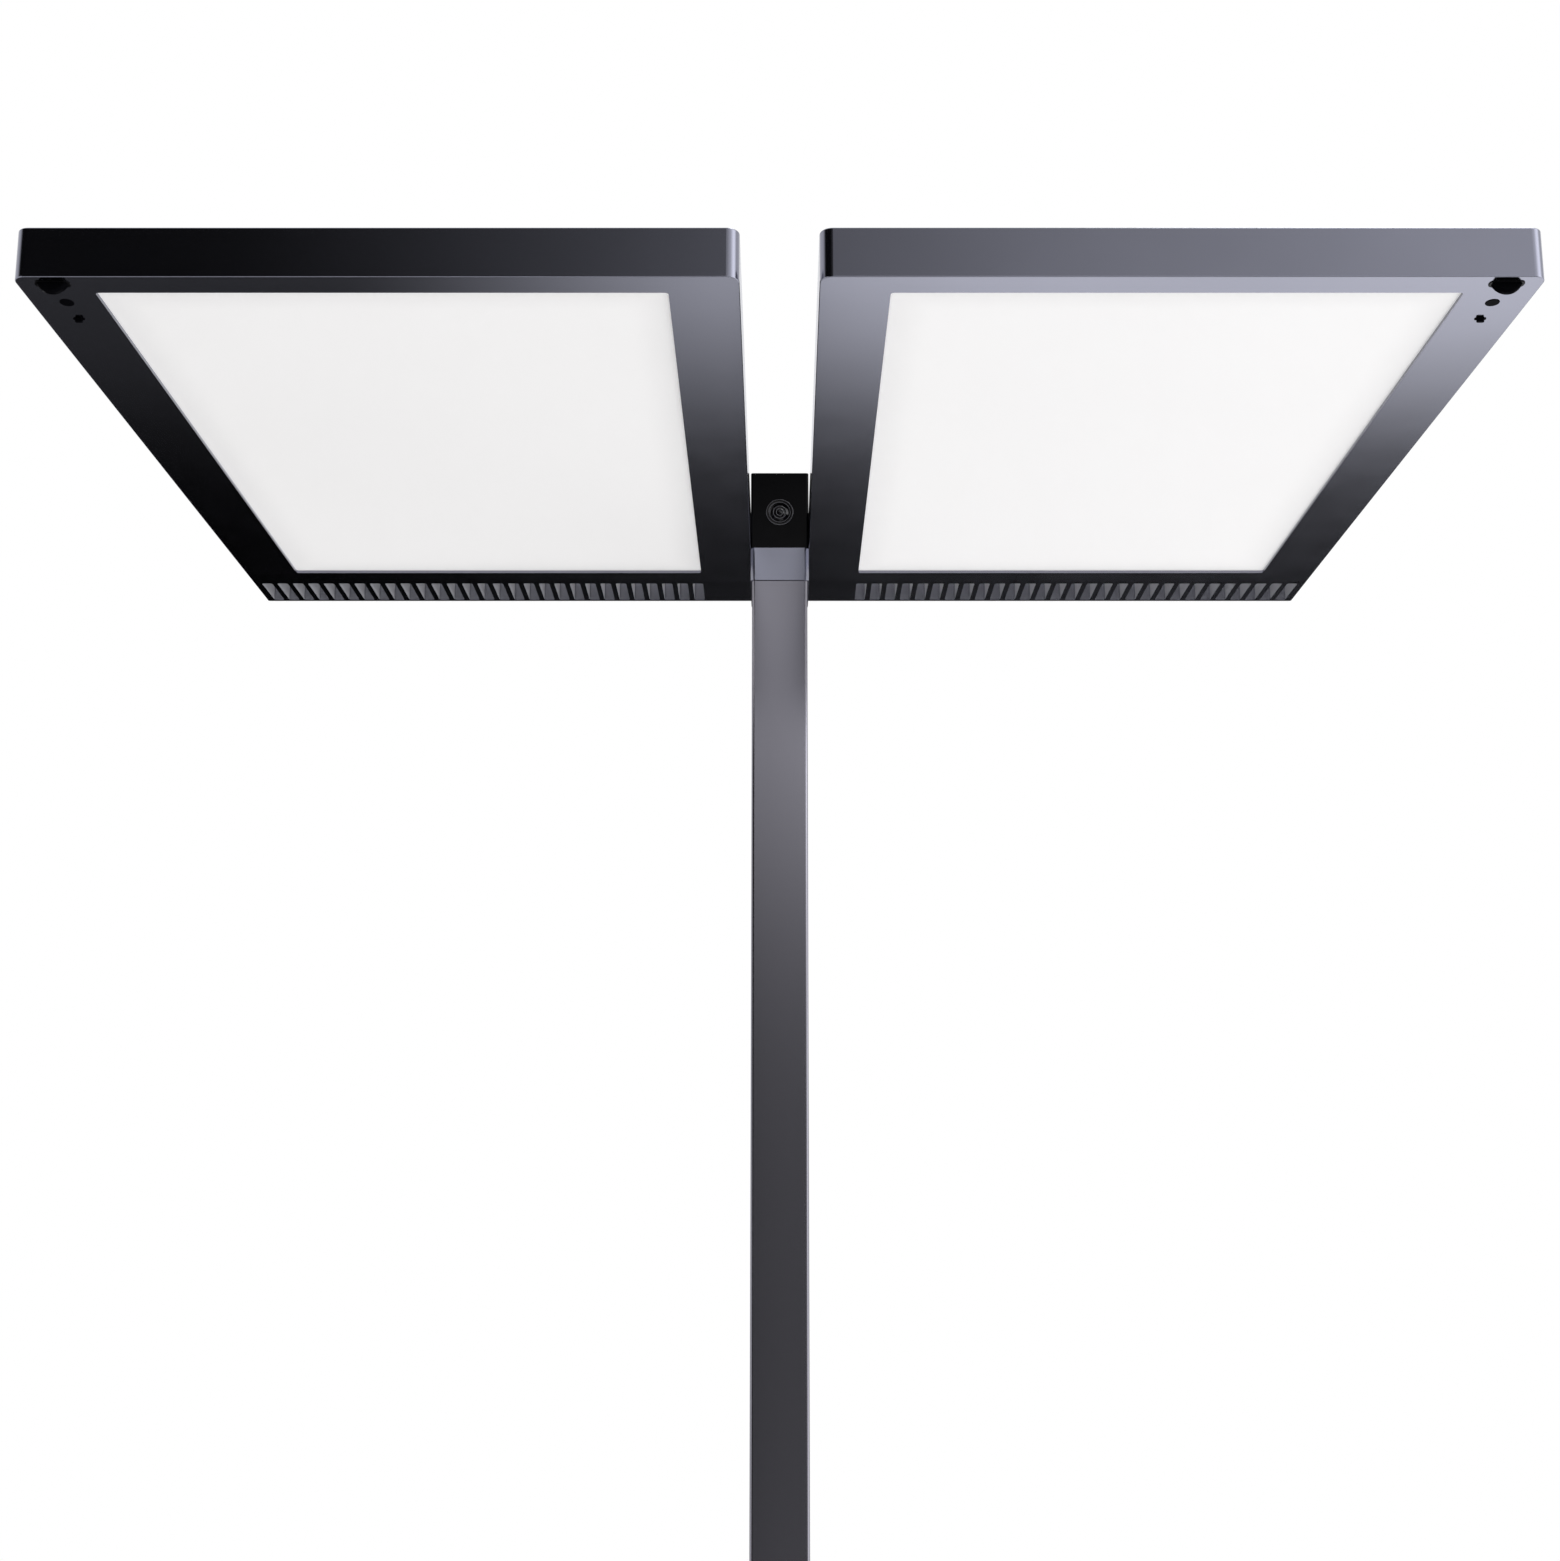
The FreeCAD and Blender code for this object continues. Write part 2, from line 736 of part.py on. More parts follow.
# ------------------------------------------------------------------ the bridge
def bridge_housing():
    """Black box between the heads, open at the top, with a hole for the spigot in its floor."""
    box = prism(-head_gap / 2, head_gap / 2, pole_front, bridge_rear, underside_height, bridge_top,
                bridge_corner)
    hollow = prism(-bridge_inner_half, bridge_inner_half, pole_front + bridge_wall, saddle_rear,
                   saddle_floor, bridge_top + cut_margin, bridge_corner)
    tools = [hollow]
    slack = spigot_clearance
    tools.append(block(-spigot_half - slack, spigot_half + slack, spigot_front - slack,
                       spigot_rear + slack, underside_height - cut_margin, saddle_floor + cut_margin))
    box = box.cut(tools)
    posts = [rod_y(x, z, pole_front + bridge_wall, pole_front + eye_board_back, eye_post_radius)
             for x, z in eye_post_places()]
    box = box.fuse(posts)
    holes = [rod_y(0, underside_height + eye_height, pole_front - cut_margin,
                   pole_front + bridge_wall, eye_radius + sensor_clearance)]
    for side in (-1, 1):
        x0 = min(side * bridge_inner_half, side * (head_gap / 2 + cut_margin))
        x1 = max(side * bridge_inner_half, side * (head_gap / 2 + cut_margin))
        for v in bolt_places:
            holes.append(rod_x(head_y + v, underside_height + bolt_level, x0, x1,
                               bolt_radius + bolt_hole_clearance))
        holes.append(rod_x(cable_y, underside_height + bolt_level, x0, x1, lead_hole_radius))
    return box.cut(holes).removeSplitter()


def bridge_cap():
    """Lid of the bridge, flush with its walls, with a skirt that locates it."""
    slack = sensor_clearance
    inner_front = pole_front + bridge_wall
    plate = prism(-head_gap / 2, head_gap / 2, pole_front, bridge_rear, bridge_top,
                  bridge_top + cap_thickness, bridge_corner)
    plate = round_levels(plate, bridge_edge, (bridge_top + cap_thickness,))
    skirt = prism(-bridge_inner_half + slack, bridge_inner_half - slack, inner_front + slack,
                  saddle_rear - slack, bridge_top - cap_skirt, bridge_top, bridge_corner)
    core = prism(-bridge_inner_half + bridge_wall, bridge_inner_half - bridge_wall,
                 inner_front + bridge_wall, saddle_rear - bridge_wall,
                 bridge_top - cap_skirt - cut_margin, bridge_top, bridge_corner)
    return plate.fuse(skirt.cut(core)).removeSplitter()


def bridge_frame():
    """Saddle that sits on the spigot and takes the bolts of both heads."""
    body = block(-bridge_inner_half, bridge_inner_half, saddle_y, saddle_rear, saddle_floor,
                 saddle_top)
    body = body.makeFillet(bridge_corner, [edge for edge in body.Edges
                                           if abs(edge.BoundBox.YMin - saddle_rear) < 0.001
                                           and edge.BoundBox.ZLength > saddle_height / 2])
    slack = spigot_clearance
    tools = [block(-spigot_half - slack, spigot_half + slack, saddle_y - cut_margin,
                   spigot_rear + slack, saddle_floor - cut_margin, spigot_top)]
    for y in spigot_bolt_places:
        tools.append(rod_z(0, y, spigot_top - cut_margin, saddle_top + cut_margin,
                           spigot_bolt_radius + bolt_hole_clearance))
    for side in (-1, 1):
        x0 = min(side * (bridge_inner_half - bolt_bite), side * (head_gap / 2))
        x1 = max(side * (bridge_inner_half - bolt_bite), side * (head_gap / 2))
        for v in bolt_places:
            tools.append(rod_x(head_y + v, underside_height + bolt_level, x0, x1,
                               bolt_radius + screw_clearance))
    return body.cut(tools)


def socket_bolt(length, radius, head_radius, head_height):
    """Socket-head bolt at the origin: shank along +X, head on the other side."""
    shank = Part.makeCylinder(radius, length, ORIGIN, ALONG_X)
    head = Part.makeCylinder(head_radius, head_height, V(-head_height, 0, 0), ALONG_X)
    socket = Part.makeCylinder(bolt_socket_radius, bolt_socket_depth, V(-head_height, 0, 0), ALONG_X)
    return shank.fuse(head).removeSplitter().cut(socket)


def bridge_bolts():
    """Bolts from inside each head, through the bridge wall and into the saddle."""
    seat = head_x + inner_wall + bracket_thickness
    length = seat - (bridge_inner_half - bolt_bite)
    bolts = []
    for v in bolt_places:
        bolt = socket_bolt(length, bolt_radius, bolt_head_radius, bolt_head_height)
        bolt.rotate(ORIGIN, ALONG_Z, 180)
        bolt.translate(V(seat, head_y + v, underside_height + bolt_level))
        bolts.append(bolt)
        bolts.append(mirrored(bolt))
    return bolts


def spigot_bolts():
    """Bolts from above, through the saddle into the spigot's top plate."""
    length = saddle_top - (spigot_top - spigot_plate)
    bolts = []
    for y in spigot_bolt_places:
        bolt = socket_bolt(length, spigot_bolt_radius, spigot_bolt_head_radius,
                           spigot_bolt_head_height)
        bolt.rotate(ORIGIN, ALONG_Y, 90)
        bolt.translate(V(0, y, saddle_top))
        bolts.append(bolt)
    return bolts


def eye_post_places():
    """Corners of the bridge's sensor board, where its posts stand."""
    half = eye_board_width / 2 - eye_post_inset
    rise = eye_board_height / 2 - eye_post_inset
    middle = underside_height + eye_height
    return [(x, middle + dz) for x in (-half, half) for dz in (-rise, rise)]


def sensor_ring():
    """Round bezel in the front of the bridge, with concentric steps down to its lens."""
    z = underside_height + eye_height
    front = pole_front - eye_proud
    ring = rod_y(0, z, front, pole_front + bridge_wall, eye_radius)
    back = rod_y(0, z, pole_front + bridge_wall, pole_front + bridge_wall + eye_flange,
                 eye_radius + eye_flange)
    ring = join([ring, back])
    tools = [rod_y(0, z, front - cut_margin, pole_front + eye_depth + cut_margin,
                   eye_lens_radius + sensor_clearance)]
    for step in range(eye_ring_count):
        outer = eye_lens_radius + eye_ring_step * (eye_ring_count - step - 0.5)
        depth = eye_ring_rise * (step + 1)
        tools.append(rod_y(0, z, front - cut_margin, front + depth, outer))
    return ring.cut(tools)


def sensor_lens():
    """Domed round lens inside the bezel."""
    z = underside_height + eye_height
    front = pole_front - eye_proud + eye_ring_rise * eye_ring_count
    back = pole_front + bridge_wall + eye_flange
    body = rod_y(0, z, front, back + eye_flange, eye_lens_radius)
    flange = rod_y(0, z, back, back + eye_flange / 2, eye_lens_radius + eye_flange)
    bulge = dome(0, 0, 0, eye_lens_radius, eye_lens_dome)
    bulge.rotate(ORIGIN, ALONG_X, -90)
    bulge.translate(V(0, front, z))
    return join([bulge, body, flange])


def bridge_sensor_board():
    """Board behind the round lens."""
    middle = underside_height + eye_height
    y0 = pole_front + eye_board_back
    return block(-eye_board_width / 2, eye_board_width / 2, y0, y0 + board_thickness,
                 middle - eye_board_height / 2, middle + eye_board_height / 2)


# -------------------------------------------------------------------- the pole
def pole_tube():
    """Rectangular aluminium tube with openings for the keys and the mains inlet."""
    tube = prism(-pole_width / 2, pole_width / 2, pole_front, pole_rear, tube_bottom, tube_top,
                 pole_corner)
    bore = prism(-tube_inner_half, tube_inner_half, tube_inner_front, tube_inner_rear,
                 tube_bottom - cut_margin, tube_top + cut_margin, pole_corner / 2)
    sleeve_half = frame_half_width - frame_flange + frame_clearance
    sleeve_rise = frame_half_height - frame_flange + frame_clearance
    key_opening = block(-sleeve_half, sleeve_half, pole_front - cut_margin, tube_inner_front,
                        controls_height - sleeve_rise, controls_height + sleeve_rise)
    inlet_half = inlet_width / 2 + inlet_clearance
    inlet_rise = inlet_tall / 2 + inlet_clearance
    inlet_opening = block(-inlet_half, inlet_half, tube_inner_rear, pole_rear + cut_margin,
                          inlet_height - inlet_rise, inlet_height + inlet_rise)
    return tube.cut([bore, key_opening, inlet_opening])


def pole_collar():
    """Sleeve between the pole's end and the bridge, a little wider than the pole."""
    body = prism(-pole_width / 2 - collar_proud, pole_width / 2 + collar_proud,
                 pole_front - collar_proud, pole_rear + collar_proud, tube_top, underside_height,
                 pole_corner + collar_proud)
    slack = spigot_clearance
    bore = block(-spigot_half - slack, spigot_half + slack, spigot_front - slack,
                 spigot_rear + slack, tube_top - cut_margin, underside_height + cut_margin)
    return body.cut(bore)


def pole_spigot():
    """Steel box section that joins the pole to the saddle, closed by a plate at its top."""
    box = block(-spigot_half, spigot_half, spigot_front, spigot_rear, tube_top - spigot_drop,
                spigot_top)
    hollow = block(-spigot_half + spigot_wall, spigot_half - spigot_wall,
                   spigot_front + spigot_wall, spigot_rear - spigot_wall,
                   tube_top - spigot_drop - cut_margin, spigot_top - spigot_plate)
    tools = [hollow, rod_z(0, cable_y, spigot_top - spigot_plate - cut_margin,
                           spigot_top + cut_margin, cable_hole_radius)]
    for y in spigot_bolt_places:
        tools.append(rod_z(0, y, spigot_top - spigot_plate - cut_margin, spigot_top + cut_margin,
                           spigot_bolt_radius + screw_clearance))
    return box.cut(tools)


def driver_rail():
    """Steel strip on the inside of the pole's front wall that carries the drivers."""
    return block(-driver_rail_width / 2, driver_rail_width / 2, tube_inner_front, driver_y,
                 driver_levels[0] - driver_rail_spare,
                 driver_levels[1] + driver_length + driver_rail_spare)


def driver(level):
    """Long narrow driver in its casing."""
    return prism(-driver_width / 2, driver_width / 2, driver_y, driver_y + driver_depth, level,
                 level + driver_length, driver_corner)


def wiring_harness():
    """Cable up the pole to a junction, with one lead and plug for each head."""
    upper = driver_levels[1] + driver_length
    level = underside_height + bolt_level
    reach = head_x + lead_reach
    box_half = junction_width / 2
    pieces = [rod_z(0, cable_y, upper, spigot_top, cable_radius)]
    pieces.append(block(-box_half, box_half, cable_y - junction_depth / 2,
                        cable_y + junction_depth / 2, spigot_top, spigot_top + junction_height))
    for side in (-1, 1):
        x0 = min(0, side * reach)
        x1 = max(0, side * reach)
        pieces.append(rod_x(cable_y, level, x0, x1, lead_radius))
        near = min(side * reach, side * (reach + plug_length))
        pieces.append(block(near, near + plug_length, cable_y - plug_width / 2,
                            cable_y + plug_width / 2, underside_height + plate_top,
                            level + lead_radius + plug_wall))
    link = rod_z(0, cable_y, driver_levels[0] + driver_length, driver_levels[1], cable_radius)
    return [join(pieces), link]


# -------------------------------------------------------------------- the keys
def key_levels():
    """Middle heights of the three keys, by their node names."""
    return {
        "dimmer_key": controls_height - key_pitch,
        "power_key": controls_height,
        "brighter_key": controls_height + key_pitch,
    }


def control_frame():
    """Bezel in the pole's front with three guides for the keys."""
    front = pole_front - frame_proud
    flange = prism_y(-frame_half_width, frame_half_width, front, pole_front,
                     controls_height - frame_half_height, controls_height + frame_half_height,
                     key_corner)
    sleeve_half = frame_half_width - frame_flange
    sleeve_rise = frame_half_height - frame_flange
    sleeve = block(-sleeve_half, sleeve_half, pole_front, frame_back,
                   controls_height - sleeve_rise, controls_height + sleeve_rise)
    tools = []
    half = key_width / 2 + key_clearance
    rise = key_height / 2 + key_clearance
    for level in key_levels().values():
        tools.append(prism_y(-half, half, front - cut_margin, frame_back + cut_margin,
                             level - rise, level + rise, key_corner))
        tools.append(block(-half - key_flange, half + key_flange, front + frame_lip,
                           frame_back + cut_margin, level - rise - key_flange,
                           level + rise + key_flange))
    return join([flange, sleeve]).cut(tools)


def key_mark(name, level, front):
    """Plain raised mark on a key: a bar, a cross or a ring."""
    half = key_mark_size / 2
    line = key_mark_width / 2
    root = front + key_edge
    if name == "power_key":
        ring = rod_y(0, level, front - key_mark_rise, root, half)
        return ring.cut(rod_y(0, level, front - key_mark_rise, root, half - key_mark_width))
    bars = [block(-half, half, front - key_mark_rise, root, level - line, level + line)]
    if name == "brighter_key":
        bars.append(block(-line, line, front - key_mark_rise, root, level - half, level + half))
    return join(bars)


def key(name):
    """Push key with a retaining flange behind the bezel's lip."""
    level = key_levels()[name]
    front = pole_front - frame_proud - key_proud
    seat = pole_front - frame_proud + frame_lip + key_clearance
    half = key_width / 2
    rise = key_height / 2
    body = prism_y(-half, half, front, seat, level - rise, level + rise, key_corner)
    rim = [edge for edge in body.Edges if abs(edge.BoundBox.YMax - front) < 0.001]
    body = body.makeFillet(key_edge, rim)
    flange = block(-half - key_flange, half + key_flange, seat, seat + key_flange_thickness,
                   level - rise - key_flange, level + rise + key_flange)
    return join([body, flange, key_mark(name, level, front)])


def control_board():
    """Board behind the keys with one switch for each."""
    half = frame_half_width - frame_flange
    rise = frame_half_height - frame_flange
    seat = pole_front - frame_proud + frame_lip + key_clearance
    switch_front = seat + key_flange_thickness + key_travel + switch_gap
    pieces = [block(-half, half, frame_back, frame_back + board_thickness,
                    controls_height - rise, controls_height + rise)]
    for level in key_levels().values():
        pieces.append(block(-switch_size / 2, switch_size / 2, switch_front, frame_back,
                            level - switch_size / 2, level + switch_size / 2))
    return join(pieces)


# --------------------------------------------------------------- mains inlet
def inlet_pin_places():
    """Middles of the three contact blades, seen from behind the lamp."""
    return [(-pin_pitch, inlet_height - pin_offset), (0, inlet_height + pin_offset),
            (pin_pitch, inlet_height - pin_offset)]


def inlet_pins():
    """Three flat contact blades."""
    pins = []
    for x, z in inlet_pin_places():
        pins.append(block(x - pin_width / 2, x + pin_width / 2, inlet_back - pin_tab, pin_front,
                          z - pin_tall / 2, z + pin_tall / 2))
    return pins


def power_inlet():
    """Appliance inlet in the rear of the pole: a cup with a flange outside."""
    half = inlet_width / 2
    rise = inlet_tall / 2
    mouth = pole_rear + inlet_flange_thickness
    body = prism_y(-half, half, inlet_back, pole_rear, inlet_height - rise, inlet_height + rise,
                   inlet_corner)
    flange = prism_y(-half - inlet_flange, half + inlet_flange, pole_rear, mouth,
                     inlet_height - rise - inlet_flange, inlet_height + rise + inlet_flange,
                     inlet_corner)
    cup = prism_y(-half + inlet_wall, half - inlet_wall, inlet_back + inlet_floor,
                  mouth + cut_margin, inlet_height - rise + inlet_wall,
                  inlet_height + rise - inlet_wall, inlet_corner)
    return join([body, flange]).cut([cup] + inlet_pins())


def mains_terminal():
    """Terminal block behind the inlet with its lead up to the lower driver."""
    half = terminal_width / 2
    rise = terminal_tall / 2
    body = block(-half, half, inlet_back - terminal_depth, inlet_back, inlet_height - rise,
                 inlet_height + rise)
    body = body.cut(inlet_pins())
    lead = rod_z(0, cable_y, inlet_height + rise, driver_levels[0], cable_radius)
    return join([body, lead])


# --------------------------------------------------------------- foot and base
def foot_screw_places():
    """Middles of the four screws in the corners of the foot flange."""
    half = pole_width / 2 + foot_border - foot_screw_inset
    run = pole_depth / 2 + foot_border - foot_screw_inset
    return [(x, pole_middle + dy) for x in (-half, half) for dy in (-run, run)]


def pole_foot():
    """Flange on the base with a plug that stands inside the pole."""
    half = pole_width / 2 + foot_border
    run = pole_depth / 2 + foot_border
    flange = prism(-half, half, pole_middle - run, pole_middle + run, foot_level, tube_bottom,
                   foot_corner)
    flange = round_levels(flange, foot_edge, (tube_bottom,))
    plug = block(-spigot_half, spigot_half, spigot_front, spigot_rear, foot_level,
                 tube_bottom + foot_plug)
    holes = []
    for x, y in foot_screw_places():
        holes.append(countersunk_hole(x, y, tube_bottom, foot_screw_head + screw_clearance,
                                      foot_screw_radius + screw_clearance,
                                      foot_thickness + cut_margin))
    return join([flange, plug]).cut(holes)


def foot_screws():
    """Flat-headed screws through the foot flange into the base."""
    length = foot_thickness + base_thickness - foot_screw_floor - pad_recess
    return [countersunk_screw(x, y, tube_bottom, foot_screw_head, foot_screw_radius, length)
            for x, y in foot_screw_places()]


def pad_places():
    """Middles of the six pads under the base."""
    xs = (-base_width / 2 + pad_inset, 0, base_width / 2 - pad_inset)
    ys = (-base_front + pad_inset, base_rear - pad_inset)
    return [(x, y) for x in xs for y in ys]


def base_plate():
    """Heavy steel plate that keeps the lamp upright."""
    level = pad_height - pad_recess
    plate = prism(-base_width / 2, base_width / 2, -base_front, base_rear, level, foot_level,
                  base_corner)
    plate = round_levels(plate, base_edge, (foot_level,))
    tools = [rod_z(x, y, level - cut_margin, pad_height, pad_radius + pad_clearance)
             for x, y in pad_places()]
    for x, y in foot_screw_places():
        tools.append(rod_z(x, y, pad_height + foot_screw_floor, foot_level + cut_margin,
                           foot_screw_radius + screw_clearance))
    return plate.cut(tools)


def base_pads():
    """Rubber pads let into the underside of the base."""
    return [rod_z(x, y, 0, pad_height, pad_radius) for x, y in pad_places()]


# ---------------------------------------------------------------------- output
def head_pieces():
    """Every piece that both heads have, drawn for the right head."""
    return {
        "head_housing": [head_housing()],
        "head_lid": [head_lid()],
        "heat_sink": [heat_sink()],
        "diffuser": [diffuser()],
        "light_guide": [guide_plate(guide_level, reflector_level)],
        "reflector": [guide_plate(reflector_level, reflector_level + reflector_thickness)],
        "led_rails": led_rails(),
        "back_plate": [back_plate()],
        "uplight_window": [uplight_window()],
        "motion_ring": [motion_ring()],
        "motion_lens": [motion_lens()],
        "light_sensor": [light_sensor()],
        "status_window": [status_window()],
        "sensor_board": [head_sensor_board()],
        "mount_bracket": [mount_bracket()],
    }


def shared_pieces():
    """Every piece that the lamp has once."""
    pieces = {
        "uplight_boards": uplight_boards(),
        "lid_screws": lid_screws(),
        "bridge_housing": [bridge_housing()],
        "bridge_cap": [bridge_cap()],
        "bridge_frame": [bridge_frame()],
        "bridge_bolts": bridge_bolts(),
        "spigot_bolts": spigot_bolts(),
        "sensor_ring": [sensor_ring()],
        "sensor_lens": [sensor_lens()],
        "bridge_sensor_board": [bridge_sensor_board()],
        "wiring_harness": wiring_harness(),
        "pole_collar": [pole_collar()],
        "pole_spigot": [pole_spigot()],
        "pole_tube": [pole_tube()],
        "driver_rail": [driver_rail()],
        "downlight_driver": [driver(driver_levels[0])],
        "uplight_driver": [driver(driver_levels[1])],
        "control_frame": [control_frame()],
        "control_board": [control_board()],
        "power_inlet": [power_inlet()],
        "inlet_pins": inlet_pins(),
        "mains_terminal": [mains_terminal()],
        "pole_foot": [pole_foot()],
        "foot_screws": foot_screws(),
        "base_plate": [base_plate()],
        "base_pads": base_pads(),
    }
    for name in key_levels():
        pieces[name] = [key(name)]
    return pieces


def write(name, solids):
    """Write one node and say whether its solids are closed and valid."""
    shape = solids[0] if len(solids) == 1 else Part.makeCompound(solids)
    found = shape.Solids
    sound = shape.isValid() and all(solid.isClosed() for solid in found)
    shape.exportStep("parts/" + name + ".step")
    volume = sum(solid.Volume for solid in found) / 1000
    print(f"{name:24s} solids {len(found):2d}  {volume:9.2f} cm3  {'ok' if sound else 'NOT SOUND'}")
    return shape


def main():
    nodes = dict(shared_pieces())
    for name, solids in head_pieces().items():
        nodes["right_" + name] = solids
        nodes["left_" + name] = [mirrored(solid) for solid in solids]
    bounds = FreeCAD.BoundBox()
    for name in sorted(nodes):
        bounds.add(write(name, nodes[name]).optimalBoundingBox())
    print(f"{len(nodes)} nodes, {bounds.XLength:.1f} x {bounds.YLength:.1f} x {bounds.ZLength:.1f} mm")
    print(f"centre x {bounds.Center.x:.2f} y {bounds.Center.y:.2f}, lowest {bounds.ZMin:.2f}")


main()
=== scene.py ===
# %% [markdown]
# # An office floor lamp with two flat light heads
#
# This notebook dresses a finished construction of the lamp. The construction gives every piece at
# its real size in metres, and nothing of it is moved here. What is left to do is what the eye reads
# first: the satin metal, the glowing panels, the black glass of the sensors, and the small turned
# pieces that a plain solid only hints at.
#
# Every finish is a recipe of nodes and not a picture. A recipe has no seams and no pixels, and it
# is measured in millimetres, like the piece that it covers.

# %% Load the construction
import json
import math

import bmesh
import bpy
from mathutils import Matrix, Vector


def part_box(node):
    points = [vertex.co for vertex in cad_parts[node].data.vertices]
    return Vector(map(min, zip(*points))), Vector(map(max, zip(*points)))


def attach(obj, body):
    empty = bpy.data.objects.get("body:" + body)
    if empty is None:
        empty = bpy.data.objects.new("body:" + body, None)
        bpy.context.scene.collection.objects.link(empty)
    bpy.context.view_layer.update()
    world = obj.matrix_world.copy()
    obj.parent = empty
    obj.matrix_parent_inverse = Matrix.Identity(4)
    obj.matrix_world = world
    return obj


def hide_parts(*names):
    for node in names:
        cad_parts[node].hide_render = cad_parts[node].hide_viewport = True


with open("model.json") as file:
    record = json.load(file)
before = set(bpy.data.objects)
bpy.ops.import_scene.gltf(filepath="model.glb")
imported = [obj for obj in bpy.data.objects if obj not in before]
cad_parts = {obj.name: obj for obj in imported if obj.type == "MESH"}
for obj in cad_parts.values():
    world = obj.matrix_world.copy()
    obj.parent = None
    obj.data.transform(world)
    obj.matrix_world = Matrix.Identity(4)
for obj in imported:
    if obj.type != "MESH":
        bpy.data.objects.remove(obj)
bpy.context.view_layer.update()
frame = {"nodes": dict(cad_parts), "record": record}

MM = 0.001
print("pieces in the construction:", len(frame["nodes"]))

# %% [markdown]
# ## The camera
#
# The lamp is seen from in front, with the lens half a metre below the heads and looking slightly
# up. A camera could also stand level and slide its lens up (a "shift"), which keeps the pole's two
# sides parallel. Here most of the upward look is a tilt and only a small part is shift, because the
# shift stays on when the lamp is viewed from other sides.

# %% Camera
IMAGE_WIDTH = 1560                 # pixels across the whole picture
SENSOR_WIDTH = 36.0                # millimetres
FOCAL_LENGTH = 1942.5              # in pixels of the picture
CAMERA_PLACE = (0.0002, -1.1965, 1.4464)
CAMERA_TILT = math.radians(10.793)
CAMERA_SHIFT = 0.06

camera_data = bpy.data.cameras.new("camera")
camera_data.sensor_fit = "HORIZONTAL"
camera_data.sensor_width = SENSOR_WIDTH
camera_data.lens = FOCAL_LENGTH * SENSOR_WIDTH / IMAGE_WIDTH
camera_data.shift_y = CAMERA_SHIFT
camera = bpy.data.objects.new("camera", camera_data)
camera.location = CAMERA_PLACE
camera.rotation_euler = (math.pi / 2 + CAMERA_TILT, 0, 0)
bpy.context.scene.collection.objects.link(camera)
bpy.context.scene.camera = camera
bpy.context.scene.view_settings.view_transform = "Standard"
print("lens", round(camera_data.lens, 2), "mm")

# %% [markdown]
# ## A finish from one shader
#
# The Principled shader covers metal, paint, plastic and glass alike, so every finish of this lamp
# is one such shader. A finish could also be mixed from several simple shaders, but then each one
# would have to be balanced against the others. Values that are the same all over a piece are
# written on the shader itself, which is the plainest way and survives an export.

# %% New finish
finishes = {}


def new_finish(name, colour, roughness, metallic=0.0):
    """A material with one shader and its plain values; it is kept in the list of finishes."""
    finish = bpy.data.materials.new(name)
    finish.use_nodes = True
    shader = finish.node_tree.nodes["Principled BSDF"]
    shader.inputs["Base Color"].default_value = (*colour, 1)
    shader.inputs["Roughness"].default_value = roughness
    shader.inputs["Metallic"].default_value = metallic
    finishes[name] = finish
    return finish.node_tree, shader


# %% [markdown]
# ## Life in a surface
#
# Real surfaces are never one even colour. A photo of metal would bring that in, but also its own
# light and its seams. Noise does it more cleanly. It is measured in metres, so a grain of 0.4 mm is
# 0.4 mm on every piece, and drawn out along one axis it turns into brush lines.

# %% Noise
def noise(tree, size, detail=3.0, stretch=(1, 1, 1)):
    """Noise with blotches of the given size in metres; a small stretch draws them out."""
    place = tree.nodes.new("ShaderNodeTexCoord")
    spread = tree.nodes.new("ShaderNodeMapping")
    cloud = tree.nodes.new("ShaderNodeTexNoise")
    spread.inputs["Scale"].default_value = stretch
    cloud.inputs["Scale"].default_value = 1 / size
    cloud.inputs["Detail"].default_value = detail
    tree.links.new(place.outputs["Object"], spread.inputs["Vector"])
    tree.links.new(spread.outputs["Vector"], cloud.inputs["Vector"])
    return cloud.outputs["Fac"]


print("noise in blotches; its mean is near one half")

# %% [markdown]
# ## Three layers
#
# The noise changes a finish in three ways: a slow drift of the colour, a change of gloss where
# hands and cloths have been, and a fine relief. One of them alone would look like dirt or like
# orange peel. Together, and each so weak that it is hardly seen, they make a surface look handled.

# %% Drift, gloss and relief
def between(tree, source, low, high, start=0.3, end=0.7):
    """A value that runs evenly from low to high while the source goes from start to end."""
    spread = tree.nodes.new("ShaderNodeMapRange")
    spread.inputs["From Min"].default_value = start
    spread.inputs["From Max"].default_value = end
    spread.inputs["To Min"].default_value = low
    spread.inputs["To Max"].default_value = high
    tree.links.new(source, spread.inputs["Value"])
    return spread.outputs["Result"]


def tint(tree, shader, source, low, high, start=0.3, end=0.7):
    """Let the colour drift between two tones."""
    ramp = tree.nodes.new("ShaderNodeValToRGB")
    first, last = ramp.color_ramp.elements
    first.position, first.color = start, (*low, 1)
    last.position, last.color = end, (*high, 1)
    tree.links.new(source, ramp.inputs["Fac"])
    tree.links.new(ramp.outputs["Color"], shader.inputs["Base Color"])


def gloss(tree, shader, source, low, high):
    """Let the roughness drift between two values."""
    tree.links.new(between(tree, source, low, high), shader.inputs["Roughness"])


def relief(tree, shader, source, height):
    """Raise the surface a little by the noise; height is in metres."""
    bump = tree.nodes.new("ShaderNodeBump")
    bump.inputs["Distance"].default_value = height
    tree.links.new(source, bump.inputs["Height"])
    tree.links.new(bump.outputs["Normal"], shader.inputs["Normal"])


def scaled(colour, factor):
    """A lighter or darker tone of a colour."""
    return tuple(factor * part for part in colour)


